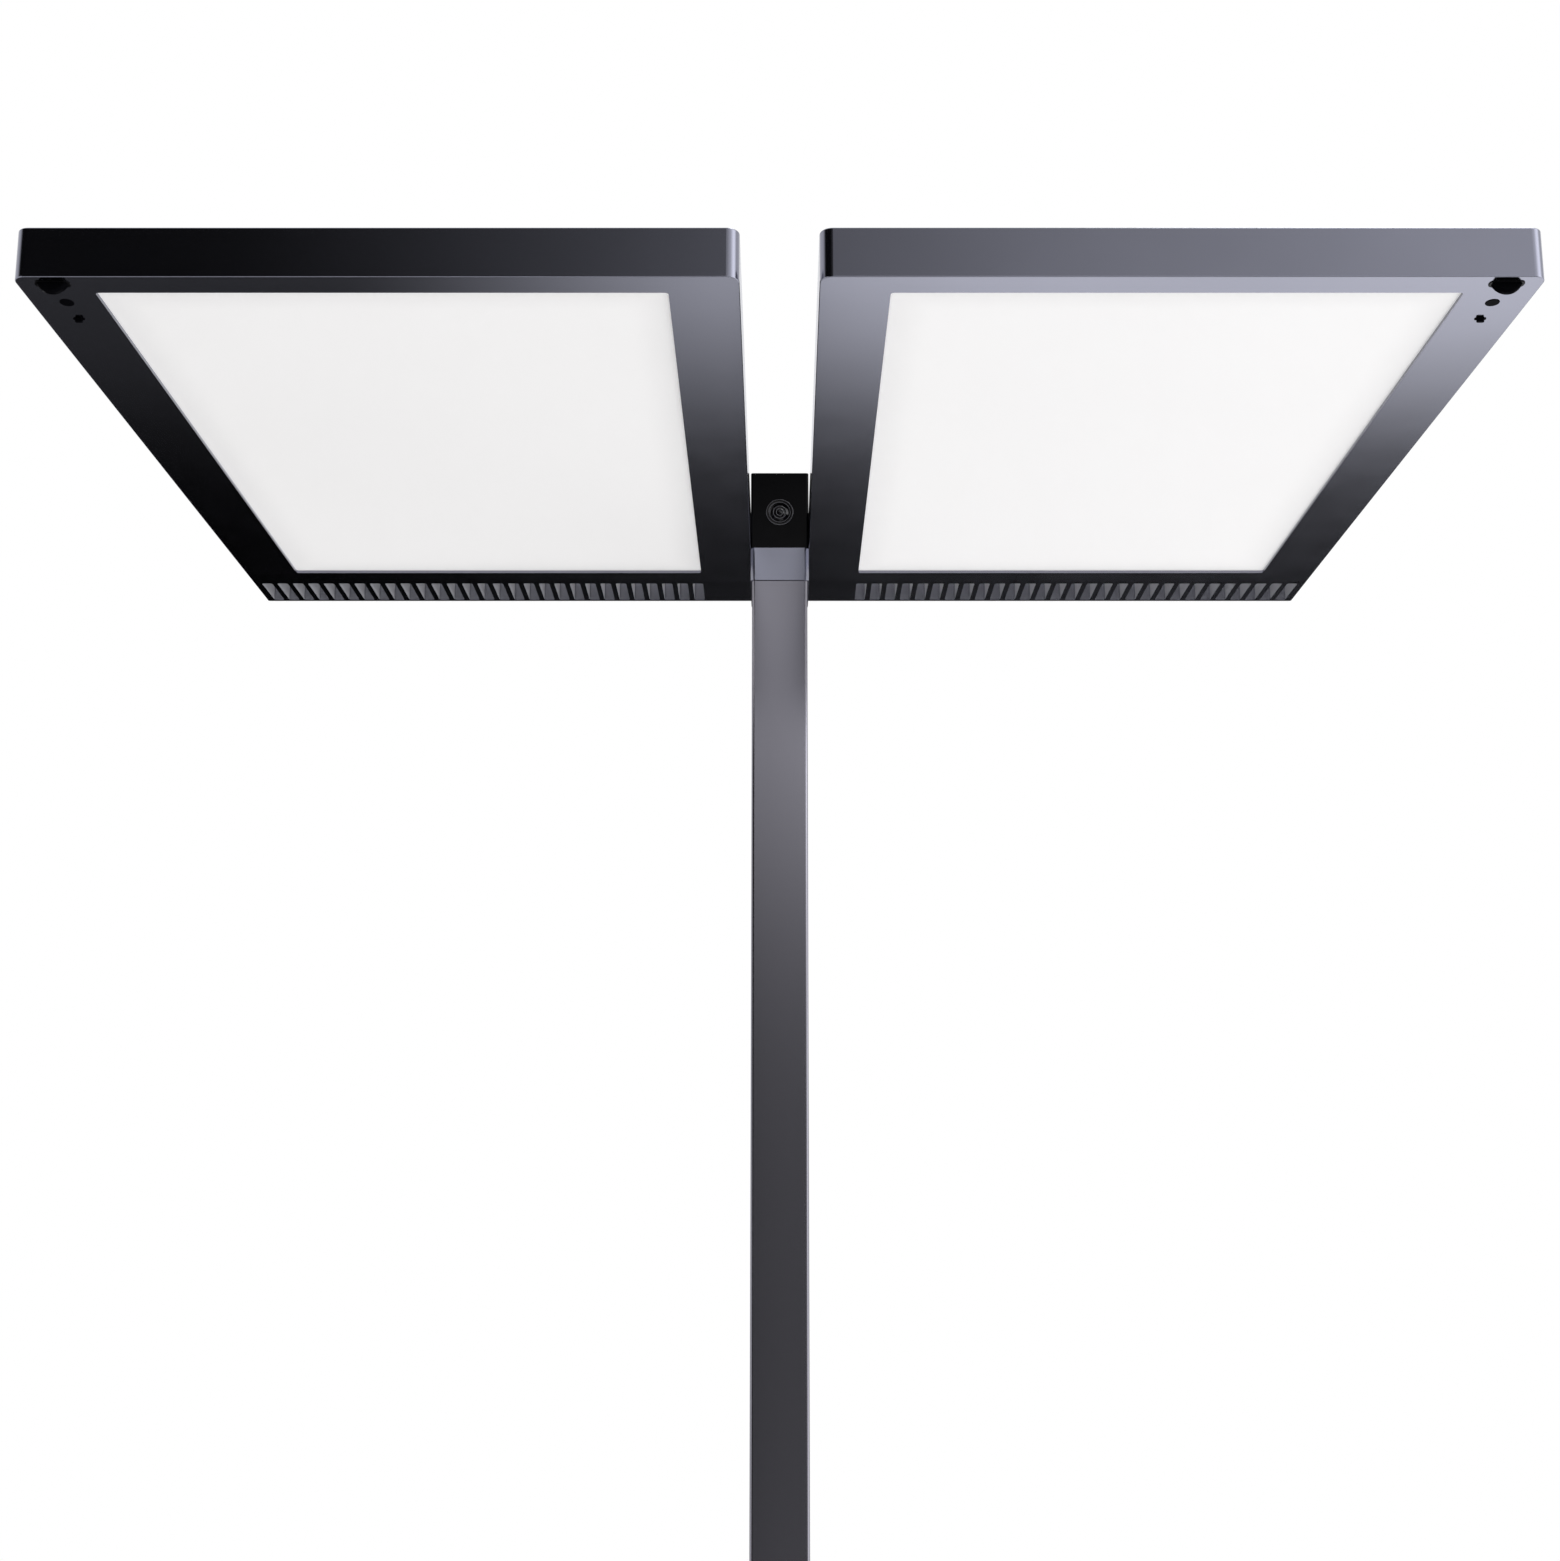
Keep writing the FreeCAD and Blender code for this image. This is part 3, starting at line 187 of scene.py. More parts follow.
print("a finish gets three layers: tint, gloss and relief")

# %% [markdown]
# ## Satin graphite metal
#
# The heads and the pole are aluminium, blasted or brushed and then anodised in a cool grey. Such a
# skin is a metal under a thin clear oxide: it mirrors the room, but every edge in the mirror image
# is soft. A grey paint would look chalky here, so the shader is all metal with a low roughness.
#
# The shell of the heads has an even, fine grain. The pole is extruded, so its grain is drawn out
# along it, and the collar on top of it is brushed across.

# %% Metal of the heads and the pole
GRAPHITE = (0.240, 0.245, 0.292)
POLE_GREY = (0.248, 0.243, 0.272)  # a touch warmer than the heads
COLLAR_GREY = scaled(GRAPHITE, 1.12)
BLASTED_ROUGHNESS, BLASTED_RELIEF = 0.13, 0.0001 * MM
BRUSHED_ROUGHNESS, BRUSHED_RELIEF = 0.20, 0.0006 * MM
TONE_DRIFT, TONE_PATCH = 0.04, 0.12      # share either way, and size in metres
GLOSS_DRIFT, GLOSS_PATCH = 0.006, 0.03


def satin_metal(name, tone, rough, grain, height, stretch=(1, 1, 1)):
    """Anodised aluminium with a fine grain, which may be drawn out into brush lines."""
    tree, shader = new_finish(name, tone, rough, metallic=1.0)
    tint(tree, shader, noise(tree, TONE_PATCH, stretch=stretch),
         scaled(tone, 1 - TONE_DRIFT), scaled(tone, 1 + TONE_DRIFT))
    gloss(tree, shader, noise(tree, GLOSS_PATCH, stretch=stretch),
          rough - GLOSS_DRIFT, rough + GLOSS_DRIFT)
    relief(tree, shader, noise(tree, grain, detail=2.0, stretch=stretch), height)
    return tree, shader


shell_tree, shell_shader = satin_metal("shell", GRAPHITE, BLASTED_ROUGHNESS, 0.4 * MM,
                                       BLASTED_RELIEF)
satin_metal("pole", POLE_GREY, BRUSHED_ROUGHNESS, 0.6 * MM, BRUSHED_RELIEF, stretch=(1, 1, 0.01))
satin_metal("collar", COLLAR_GREY, BRUSHED_ROUGHNESS, 0.5 * MM, BRUSHED_RELIEF,
            stretch=(0.02, 0.02, 1))
print("metal finishes:", ", ".join(finishes))

# %% [markdown]
# ## Arithmetic in a finish
#
# A finish can also depend on the place on a piece. Blender has a node for every sum, and a formula
# built from such nodes one by one is hard to read. One helper takes sockets and plain numbers
# alike, so a formula stays a formula.

# %% Arithmetic
def maths(tree, operation, *values):
    """Arithmetic on sockets and plain numbers; more than two are taken in one after the other."""
    if len(values) > 2:
        values = (maths(tree, operation, *values[:-1]), values[-1])
    node = tree.nodes.new("ShaderNodeMath")
    node.operation = operation
    for socket, value in zip(node.inputs, values):
        if isinstance(value, (int, float)):
            socket.default_value = value
        else:
            tree.links.new(value, socket)
    return node.outputs["Value"]


def place_parts(tree):
    """The place on the piece as three separate values, in metres."""
    place = tree.nodes.new("ShaderNodeTexCoord")
    parts = tree.nodes.new("ShaderNodeSeparateXYZ")
    tree.links.new(place.outputs["Object"], parts.inputs["Vector"])
    return parts.outputs


print("a formula may hold sockets and plain numbers alike")

# %% [markdown]
# ## A flat underside
#
# The underside of a head is one flat face, and its mirror image should run over it without a break.
# The mesh could be cut anew there, but the construction stays as it is. So the finish is told
# instead: below a height that lies just above that face, the normal points straight down. It is put
# together from two parts, the surface's own normal above that height and a downward one below it.

# %% Flat underside of the heads
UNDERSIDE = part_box("right_head_housing")[0].z + 0.02 * MM     # just above the flat face


def flat_underside(tree, shader, height):
    """Keep the normal straight down wherever the surface lies lower than height."""
    low = maths(tree, "LESS_THAN", place_parts(tree)["Z"], height)
    surface = tree.nodes.new("ShaderNodeNewGeometry")
    kept = tree.nodes.new("ShaderNodeVectorMath")
    kept.operation = "SCALE"
    tree.links.new(surface.outputs["Normal"], kept.inputs[0])
    tree.links.new(maths(tree, "SUBTRACT", 1.0, low), kept.inputs["Scale"])
    down = tree.nodes.new("ShaderNodeCombineXYZ")
    tree.links.new(maths(tree, "MULTIPLY", low, -1.0), down.inputs["Z"])
    joined = tree.nodes.new("ShaderNodeVectorMath")
    joined.operation = "ADD"
    tree.links.new(kept.outputs["Vector"], joined.inputs[0])
    tree.links.new(down.outputs["Vector"], joined.inputs[1])
    bump = shader.inputs["Normal"].links[0].from_node
    tree.links.new(joined.outputs["Vector"], bump.inputs["Normal"])


flat_underside(shell_tree, shell_shader, UNDERSIDE)
print("the undersides count as flat below", round(UNDERSIDE, 5), "m")

# %% [markdown]
# ## Masks
#
# One piece can show two surfaces: a skin and a cut into it, or plastic and the print on it. It
# could be split in two, or a picture could be laid over it. A mask needs neither. It is a value
# from nought to one that is worked out from the place on the piece, and it lets a second colour
# through.

# %% Masks
def smooth_step(tree, value, start, end, low=0.0, high=1.0):
    """Run softly from low to high while value goes from start to end."""
    ease = tree.nodes.new("ShaderNodeMapRange")
    ease.interpolation_type = "SMOOTHSTEP"
    ease.inputs["From Min"].default_value = start
    ease.inputs["From Max"].default_value = end
    ease.inputs["To Min"].default_value = low
    ease.inputs["To Max"].default_value = high
    tree.links.new(value, ease.inputs["Value"])
    return ease.outputs["Result"]


def inside_span(tree, value, low, high):
    """One where value lies between low and high, else nought."""
    return maths(tree, "MULTIPLY", maths(tree, "GREATER_THAN", value, low),
                 maths(tree, "LESS_THAN", value, high))


def paint_over(tree, shader, mask, colour):
    """Lay another colour over the finish, as far as the mask goes."""
    cover = tree.nodes.new("ShaderNodeMixRGB")
    cover.inputs["Color2"].default_value = (*colour, 1)
    tree.links.new(mask, cover.inputs["Fac"])
    tree.links.new(shader.inputs["Base Color"].links[0].from_socket, cover.inputs["Color1"])
    tree.links.new(cover.outputs["Color"], shader.inputs["Base Color"])


print("helpers for masks: a soft step, a span and a second colour")

# %% [markdown]
# ## Milled slots in the cooling bar
#
# The cooling bar along the rear of a head is anodised like the shell, with a grain that runs along
# it. The walls of its slots are milled: bare aluminium, paler and duller. They could be a piece of
# their own, but on the lamp they are part of the bar. A mask finds them by their place, because
# inside the field of slots, and more than a chamfer away from the bar's top and underside, there is
# nothing else of the bar. Towards the rounded rear ends of the slots the mask grows weaker, so the
# walls there go back to the darker anodised grey: that is painted shade.

# %% Finish of the cooling bar
MILLED = (0.60, 0.60, 0.62)
MILLED_ROUGHNESS = 0.45
MILLED_DULLNESS = 0.8              # share of the mirror image that the milling breaks up
CHAMFER = 0.4 * MM
FIELD_SIDE = 4 * MM                # from the bar's ends to the field of slots
FIELD_FACE = 1 * MM                # from the bar's front and rear face to the field
# Painted shade: the slot walls near the rear face keep the darker anodised grey.
SHADED_END = 3 * MM                  # from the rear face to where the walls are darkest
SHADED_END_FADE = 2 * MM
SHADED_END_SHARE = 0.4

bar_tree, bar_shader = satin_metal("bar", GRAPHITE, BLASTED_ROUGHNESS, 0.5 * MM, BLASTED_RELIEF,
                                   stretch=(0.02, 1, 1))
flat_underside(bar_tree, bar_shader, UNDERSIDE)

low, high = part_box("right_heat_sink")
parts = place_parts(bar_tree)
across = maths(bar_tree, "ABSOLUTE", parts["X"])
# Painted shade: the milled colour fades out towards the rounded rear ends of the slots.
full_shade_from = high.y - SHADED_END
milled = maths(
    bar_tree, "MULTIPLY",
    inside_span(bar_tree, parts["Z"], low.z + CHAMFER, high.z - CHAMFER),
    inside_span(bar_tree, across, low.x + FIELD_SIDE, high.x - FIELD_SIDE),
    inside_span(bar_tree, parts["Y"], low.y + FIELD_FACE, high.y - FIELD_FACE),
    smooth_step(bar_tree, parts["Y"], full_shade_from - SHADED_END_FADE, full_shade_from, 1.0, SHADED_END_SHARE))
paint_over(bar_tree, bar_shader, milled, MILLED)

dulled = maths(bar_tree, "MULTIPLY", milled, MILLED_DULLNESS)
bar_tree.links.new(maths(bar_tree, "SUBTRACT", 1.0, dulled), bar_shader.inputs["Metallic"])
anodised = bar_shader.inputs["Roughness"].links[0].from_socket
rougher = maths(bar_tree, "MULTIPLY", milled, MILLED_ROUGHNESS)
bar_tree.links.new(maths(bar_tree, "MAXIMUM", anodised, rougher), bar_shader.inputs["Roughness"])
print("the cooling bar reaches from", round(low.y, 4), "to", round(high.y, 4), "m")

# %% [markdown]
# ## Textured paint
#
# The heavy base is steel with a fine structured powder coat. Powder flows into tiny hills when it
# is baked, so the relief is coarser than on the anodised pieces and the gloss is low. Real hills in
# the mesh would need millions of faces; a relief in the shader does the same at this size.

# %% Paint of the base and the foot
PAINT = (0.118, 0.119, 0.132)
PAINT_HILLS, PAINT_RELIEF = 1.1 * MM, 0.12 * MM


def powder_coat(name, tone):
    """Structured paint: a slow drift of the tone, and small hills."""
    tree, shader = new_finish(name, tone, 0.5, metallic=0.35)
    tint(tree, shader, noise(tree, 0.08),
         scaled(tone, 1 - TONE_DRIFT), scaled(tone, 1 + TONE_DRIFT))
    gloss(tree, shader, noise(tree, 0.02), 0.46, 0.52)
    relief(tree, shader, noise(tree, PAINT_HILLS), PAINT_RELIEF)


powder_coat("base", PAINT)
powder_coat("foot", scaled(PAINT, 1.05))
print("hills of the paint:", PAINT_HILLS / MM, "mm across")

# %% [markdown]
# ## Black plastics, glass and rubber
#
# Several blacks meet on this lamp. The bridge between the heads is polished like piano lacquer, the
# keys and their frame have a satin spark-eroded grain, the pads under the base are dull rubber, and
# the sensors sit behind dark, clear glass. They differ in gloss and grain and hardly in colour, so
# one function makes them all, and only the numbers tell them apart.
#
# The polished pieces are set to mirror a little less than real lacquer and glass do. Otherwise the
# pale room would turn them grey.

# %% Black finishes
def moulded(name, tone, low, high, grain, height):
    """Moulded plastic, glass or rubber with a grain; low and high are its roughness."""
    tree, shader = new_finish(name, tone, high)
    tint(tree, shader, noise(tree, 0.05), scaled(tone, 0.85), scaled(tone, 1.15))
    gloss(tree, shader, noise(tree, 0.012), low, high)
    relief(tree, shader, noise(tree, grain), height)
    return tree, shader


bridge_shader = moulded("black_gloss", (0.0020, 0.0020, 0.0025), 0.10, 0.14, 4 * MM, 0.001 * MM)[1]
bridge_shader.inputs["IOR"].default_value = 1.25
bridge_shader.inputs["Specular IOR Level"].default_value = 0.2
moulded("black_matte", (0.014, 0.014, 0.015), 0.38, 0.48, 0.5 * MM, 0.01 * MM)
key_tree, key_shader = moulded("key", (0.020, 0.020, 0.022), 0.34, 0.44, 0.6 * MM, 0.012 * MM)
moulded("rubber", (0.018, 0.018, 0.018), 0.72, 0.85, 1.5 * MM, 0.06 * MM)
moulded("wire", (0.022, 0.022, 0.024), 0.5, 0.6, 2 * MM, 0.03 * MM)
lens_shader = moulded("lens", (0.003, 0.003, 0.004), 0.06, 0.10, 3 * MM, 0.0005 * MM)[1]
lens_shader.inputs["IOR"].default_value = 1.10
lens_shader.inputs["Specular IOR Level"].default_value = 0.1
eye_tree, eye_shader = moulded("eye_glass", (0.002, 0.002, 0.003), 0.05, 0.08, 3 * MM, 0.0002 * MM)
eye_shader.inputs["Specular IOR Level"].default_value = 0.35
print("finishes so far:", ", ".join(finishes))

# %% [markdown]
# ## Marks on the keys
#
# The three keys carry plain marks: a ring to switch the lamp, a cross for more light and a bar for
# less. The construction raises them by a quarter of a millimetre, and only their tops are printed
# pale. A separate sheet of print could lie on them, but a mask leaves nothing to slip: a mark is
# where the front of a key lies close to a circle or inside a short bar round the key's middle.

# %% Key marks
KEYS = ("dimmer_key", "power_key", "brighter_key")       # from the lowest to the highest
MARK_HALF_LENGTH = 2.6 * MM
MARK_HALF_WIDTH = 0.35 * MM
MARK_DEPTH = 0.3 * MM              # a little more than the marks stand proud
MARK_COLOUR = (0.42, 0.42, 0.43)
MARK_RADIUS = MARK_HALF_LENGTH - MARK_HALF_WIDTH


def middle_height(node):
    """Height of a piece's middle."""
    low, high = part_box(node)
    return (low.z + high.z) / 2


def away_from(tree, value, middle):
    """How far value is from a middle, to either side."""
    return maths(tree, "ABSOLUTE", maths(tree, "SUBTRACT", value, middle))


def from_axis(tree, aside, above):
    """Distance from an axis that runs from front to back."""
    squares = maths(tree, "ADD", maths(tree, "POWER", aside, 2.0), maths(tree, "POWER", above, 2.0))
    return maths(tree, "SQRT", squares)


def bar_mark(along, over):
    """A short bar: long in one direction, thin in the other."""
    return maths(key_tree, "MULTIPLY", maths(key_tree, "LESS_THAN", along, MARK_HALF_LENGTH),
                 maths(key_tree, "LESS_THAN", over, MARK_HALF_WIDTH))


parts = place_parts(key_tree)
across = maths(key_tree, "ABSOLUTE", parts["X"])
at_dimmer, at_power, at_brighter = [
    away_from(key_tree, parts["Z"], middle_height(node)) for node in KEYS]
off_ring = away_from(key_tree, from_axis(key_tree, across, at_power), MARK_RADIUS)
marks = maths(key_tree, "MAXIMUM", maths(key_tree, "LESS_THAN", off_ring, MARK_HALF_WIDTH),
              bar_mark(across, at_dimmer), bar_mark(across, at_brighter),
              bar_mark(at_brighter, across))
front_only = maths(key_tree, "LESS_THAN", parts["Y"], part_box("power_key")[0].y + MARK_DEPTH)
paint_over(key_tree, key_shader, maths(key_tree, "MULTIPLY", marks, front_only), MARK_COLOUR)
print("keys at", [round(middle_height(node), 3) for node in KEYS], "m")

# %% [markdown]
# ## The glowing panels
#
# Behind the window in each head lies an opal plate that is lit from two sides. It is white plastic
# by itself and gives off its own light on top, a touch less of it close to the frame. Real lamps
# behind a clouded plate would take long to render and would stay noisy, so the plate itself glows.
#
# The distance to the frame is worked out from the place on the plate, so the shade follows the
# edges. A real panel would blind the camera; here it glows just under white, and the room stays
# visible.

# %% Panel finish
OPAL = (0.80, 0.79, 0.78)
PANEL_MARGIN = 6 * MM              # the frame covers this much of the plate all round
PANEL_SHADE_WIDTH = 22 * MM        # how far the shade along the frame reaches
PANEL_SHADE = 0.80                 # share of the light that is left at the frame
PANEL_GLOW, TOP_GLOW = 0.41, 0.10
WARM_WHITE = (1.0, 0.985, 0.965, 1)


def distance_inside(tree, low, high):
    """Distance to the nearest edge of a flat plate, the same in the left and the right head."""
    parts = place_parts(tree)
    gaps = []
    for value, least, most in ((maths(tree, "ABSOLUTE", parts["X"]), low.x, high.x),
                               (parts["Y"], low.y, high.y)):
        gaps.append(maths(tree, "SUBTRACT", value, least + PANEL_MARGIN))
        gaps.append(maths(tree, "SUBTRACT", most - PANEL_MARGIN, value))
    return maths(tree, "MINIMUM", *gaps)


def opal_glow(name, node, glow):
    """White plastic that gives off light, a little less near its frame."""
    tree, shader = new_finish(name, OPAL, 0.45)
    inside = distance_inside(tree, *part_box(node))
    strength = between(tree, inside, PANEL_SHADE * glow, glow, start=0.0, end=PANEL_SHADE_WIDTH)
    tree.links.new(strength, shader.inputs["Emission Strength"])
    shader.inputs["Emission Color"].default_value = WARM_WHITE
    tint(tree, shader, noise(tree, 0.2), (0.785, 0.775, 0.765), (0.81, 0.80, 0.79))
    relief(tree, shader, noise(tree, 0.6 * MM), 0.004 * MM)


opal_glow("opal", "right_diffuser", PANEL_GLOW)
opal_glow("opal_top", "right_uplight_window", TOP_GLOW)
print("panels glow at", PANEL_GLOW, "and the windows above at", TOP_GLOW)

# %% [markdown]
# ## What lies inside
#
# The drivers, rails and plates are hidden in a closed lamp, but they show when it is taken apart.
# One grey for all of them would do while the lamp is shut. They get the finish of the real thing
# instead: rolled aluminium, zinc-plated steel, brass, moulded casings and clear acrylic.

# %% Inner metals and plastics
def plated(name, tone, rough, stretch):
    """Bare or plated metal with rolling marks."""
    tree, shader = new_finish(name, tone, rough, metallic=1.0)
    tint(tree, shader, noise(tree, 10 * MM, stretch=stretch), scaled(tone, 0.88), tone)
    gloss(tree, shader, noise(tree, 6 * MM, stretch=stretch), rough - 0.06, rough + 0.06)
    relief(tree, shader, noise(tree, 0.8 * MM, stretch=stretch), 0.006 * MM)


plated("inner_metal", (0.78, 0.79, 0.80), 0.32, (0.1, 1, 1))
plated("steel", (0.56, 0.56, 0.57), 0.28, (1, 1, 1))
plated("contact", (0.74, 0.60, 0.34), 0.22, (1, 1, 0.2))
moulded("casing", (0.74, 0.74, 0.73), 0.4, 0.5, 0.8 * MM, 0.01 * MM)
moulded("white_film", (0.88, 0.88, 0.88), 0.5, 0.6, 1 * MM, 0.004 * MM)
acrylic_shader = moulded("clear", (0.90, 0.92, 0.93), 0.03, 0.06, 10 * MM, 0.002 * MM)[1]
acrylic_shader.inputs["Transmission Weight"].default_value = 0.9
acrylic_shader.inputs["IOR"].default_value = 1.49
print("finishes so far:", len(finishes))

# %% [markdown]
# ## Circuit boards
#
# A board is green solder mask over copper tracks. The tracks could be drawn one by one, but nobody
# follows them here. A brick pattern gives the right look from a short distance: small green fields
# with lighter lines between them, slightly raised.

# %% Circuit board
tree, shader = new_finish("board", (0.02, 0.12, 0.05), 0.35)
place = tree.nodes.new("ShaderNodeTexCoord")
tracks = tree.nodes.new("ShaderNodeTexBrick")
tracks.inputs["Scale"].default_value = 90.0
tracks.inputs["Mortar Size"].default_value = 0.03
tracks.inputs["Color1"].default_value = (0.015, 0.11, 0.045, 1)
tracks.inputs["Color2"].default_value = (0.020, 0.13, 0.055, 1)
tracks.inputs["Mortar"].default_value = (0.07, 0.22, 0.08, 1)
tree.links.new(place.outputs["Object"], tracks.inputs["Vector"])
tree.links.new(tracks.outputs["Color"], shader.inputs["Base Color"])
gloss(tree, shader, noise(tree, 4 * MM), 0.28, 0.42)
relief(tree, shader, tracks.outputs["Fac"], 0.03 * MM)
field = tracks.inputs["Brick Width"].default_value / tracks.inputs["Scale"].default_value
print("fields of the circuit board:", round(field / MM, 1), "mm wide")

# %% [markdown]
# ## A finish for every piece
#
# The record of the construction names a finish for each piece, so one loop hands them out, and no
# piece can be forgotten. Only the windows in the lids differ from their record: they are of the
# same opal plastic as the panels below, and glow less.

# %% Hand out the finishes
OWN_FINISH = {"left_uplight_window": "opal_top", "right_uplight_window": "opal_top"}

for part in frame["record"]["subparts"]:
    name = part["node"]
    piece = frame["nodes"][name]
    piece.data.materials.clear()
    piece.data.materials.append(finishes[OWN_FINISH.get(name, part["material_slot"])])

# %% [markdown]
# ## Turned pieces
#
# Anything turned on a lathe is one profile swept round an axis. A modifier could do the sweep, but
# the screws need one more idea: the ring at the top of their socket is not a circle but a hexagon
# with the same number of points. So the rings are made one by one from a short list of radius and
# height, and a radius may also be a function of the angle.

# %% Lathe
RING_STEPS = 96


def ring_points(shape, outline, height):
    """Points of one ring; outline is a radius, or gives the radius at an angle."""
    points = []
    for step in range(RING_STEPS):
        angle = 2 * math.pi * step / RING_STEPS
        radius = outline(angle) if callable(outline) else outline
        points.append(shape.verts.new((radius * math.cos(angle), radius * math.sin(angle), height)))
    return points


def lathe(shape, profile):
    """Sweep a profile of (radius, height) round Z and close both ends."""
    rings = [ring_points(shape, outline, height) for outline, height in profile]
    for lower, upper in zip(rings, rings[1:]):
        for step in range(RING_STEPS):
            after = (step + 1) % RING_STEPS
            shape.faces.new((lower[step], lower[after], upper[after], upper[step]))
    shape.faces.new(rings[0])
    shape.faces.new(rings[-1])


print("a turned ring has", RING_STEPS, "points")

# %% [markdown]
# ## From mesh to piece
#
# A mesh becomes a piece of the lamp when it has a finish and rides on the right body. Its shading
# matters as much: round parts should look round and edges sharp. A bevel on every edge would do
# that too, at the price of many faces. Marking the edges by their angle is enough here, because the
# profiles bring their own small chamfers.

# %% Mesh helpers
def finish_mesh(name, shape, smooth_below=35.0):
    """Turn a bmesh into a mesh with outward faces, smooth except over sharp edges."""
    bmesh.ops.remove_doubles(shape, verts=shape.verts, dist=1e-7)
    bmesh.ops.recalc_face_normals(shape, faces=shape.faces)
    limit = math.radians(smooth_below)
    for face in shape.faces:
        face.smooth = True
    for edge in shape.edges:
        edge.smooth = len(edge.link_faces) == 2 and edge.calc_face_angle(0.0) < limit
    mesh = bpy.data.meshes.new(name)
    shape.to_mesh(mesh)
    shape.free()
    return mesh


def add_piece(name, mesh, slot, body="root", finish=None):
    """Put a mesh in the scene as a piece of the lamp."""
    piece = bpy.data.objects.new(name, mesh)
    bpy.context.scene.collection.objects.link(piece)
    piece.data.materials.append(finishes[finish or slot])
    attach(piece, body)
    return piece


print("pieces so far:", len(frame["nodes"]))

# %% [markdown]
# ## Screws
#
# The lids and the foot are held by flat-headed screws with a six-sided socket. Each is turned as
# one profile: up the shank, out along the cone, over a tiny chamfer, across the flat head and down
# into the socket. A socket could be cut out of a plain head afterwards, but a cut leaves ragged
# faces, while the profile runs cleanly from round to six-sided.

# %% Profile of a screw
def hexagon(flat):
    """Radius of a hexagon, by angle; flat is from its middle to a side."""
    def radius(angle):
        return flat / math.cos((angle + math.pi / 6) % (math.pi / 3) - math.pi / 6)
    return radius


def screw_mesh(shape, head, shank, length, flat, depth):
    """Flat-headed screw with the top of its head at nought."""
    cone = head - shank
    edge = 0.06 * head
    start = len(shape.verts)
    lathe(shape, [(0.7 * shank, -length), (shank, -length + 0.3 * shank), (shank, -cone),
                  (head - edge, -edge), (head, -0.5 * edge), (head - edge, 0),
                  (hexagon(flat * 1.06), 0), (hexagon(flat), -0.06 * depth),
                  (hexagon(flat), -depth), (0.2 * flat, -1.12 * depth)])
    shape.verts.ensure_lookup_table()
    return [shape.verts[index] for index in range(start, len(shape.verts))]


corner = 2 * hexagon(1 * MM)(math.pi / 6)
print("a socket of 2 mm over its flats has", round(corner / MM, 2), "mm over its corners")

# %% [markdown]
# ## Screws in their places
#
# A list of places could be typed in, but it would go wrong as soon as the lamp changed. The
# construction already holds a plain solid for each screw, so the places are read from there: one
# island of the mesh is one screw. Real screws stop at any angle, so each one is turned by an angle
# of its own.

# %% Screws
def islands(node):
    """Low and high corner of each separate solid in a node of the construction."""
    shape = bmesh.new()
    shape.from_mesh(frame["nodes"][node].data)
    bmesh.ops.remove_doubles(shape, verts=shape.verts, dist=1e-6)
    left = set(shape.verts)
    found = []
    while left:
        batch = [left.pop()]
        for vert in batch:
            for edge in vert.link_edges:
                other = edge.other_vert(vert)
                if other in left:
                    left.discard(other)
                    batch.append(other)
        low = Vector([min(vert.co[axis] for vert in batch) for axis in range(3)])
        high = Vector([max(vert.co[axis] for vert in batch) for axis in range(3)])
        found.append((low, high))
    shape.free()
    return sorted(found, key=lambda pair: tuple(round(part, 4) for part in pair[0]))


def socket_screws(node, shank, flat, depth):
    """One piece with every screw of a node, each with a real socket."""
    shape = bmesh.new()
    for low, high in islands(node):
        head = (high.x - low.x) / 2
        verts = screw_mesh(shape, head, shank, high.z - low.z, flat, depth)
        turn = Matrix.Rotation(math.radians(37.0) * (low.x * 7 + low.y * 11), 4, "Z")
        place = Matrix.Translation(((low.x + high.x) / 2, (low.y + high.y) / 2, high.z)) @ turn
        bmesh.ops.transform(shape, matrix=place, verts=verts)
    piece = add_piece(node + "_turned", finish_mesh(node + "_turned", shape), "steel")
    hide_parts(node)


socket_screws("lid_screws", 1.5 * MM, 1.0 * MM, 1.2 * MM)
socket_screws("foot_screws", 3.0 * MM, 2.0 * MM, 2.4 * MM)
print("screws:", len(islands("lid_screws")) + len(islands("foot_screws")))

# %% [markdown]
# ## The round eye of the bridge
#
# The black block between the heads carries a round sensor. Rings step down to a small lens, and
# each step catches a thin line of light. Steps painted on a flat disc would stay dead when the lamp
# is seen from the side, so they are real: a lathe profile again, turned to look forward.

# %% Rings of the eye
EYE_RADIUS = 9.9 * MM
EYE_SEAT_RADIUS, EYE_SEAT_THICKNESS = 11.4 * MM, 1.5 * MM

ring_low, ring_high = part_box("sensor_ring")
eye_middle = middle_height("sensor_ring")
eye_front = ring_low.y
eye_back = ring_low.y - ring_high.y    # the back of the rings, measured from their front


def look_forward(shape):
    """Turn a lathe shape from +Z to -Y and move it to the front of the bridge."""
    place = Matrix.Translation((0, eye_front, eye_middle)) @ Matrix.Rotation(math.pi / 2, 4, "X")
    bmesh.ops.transform(shape, matrix=place, verts=shape.verts)


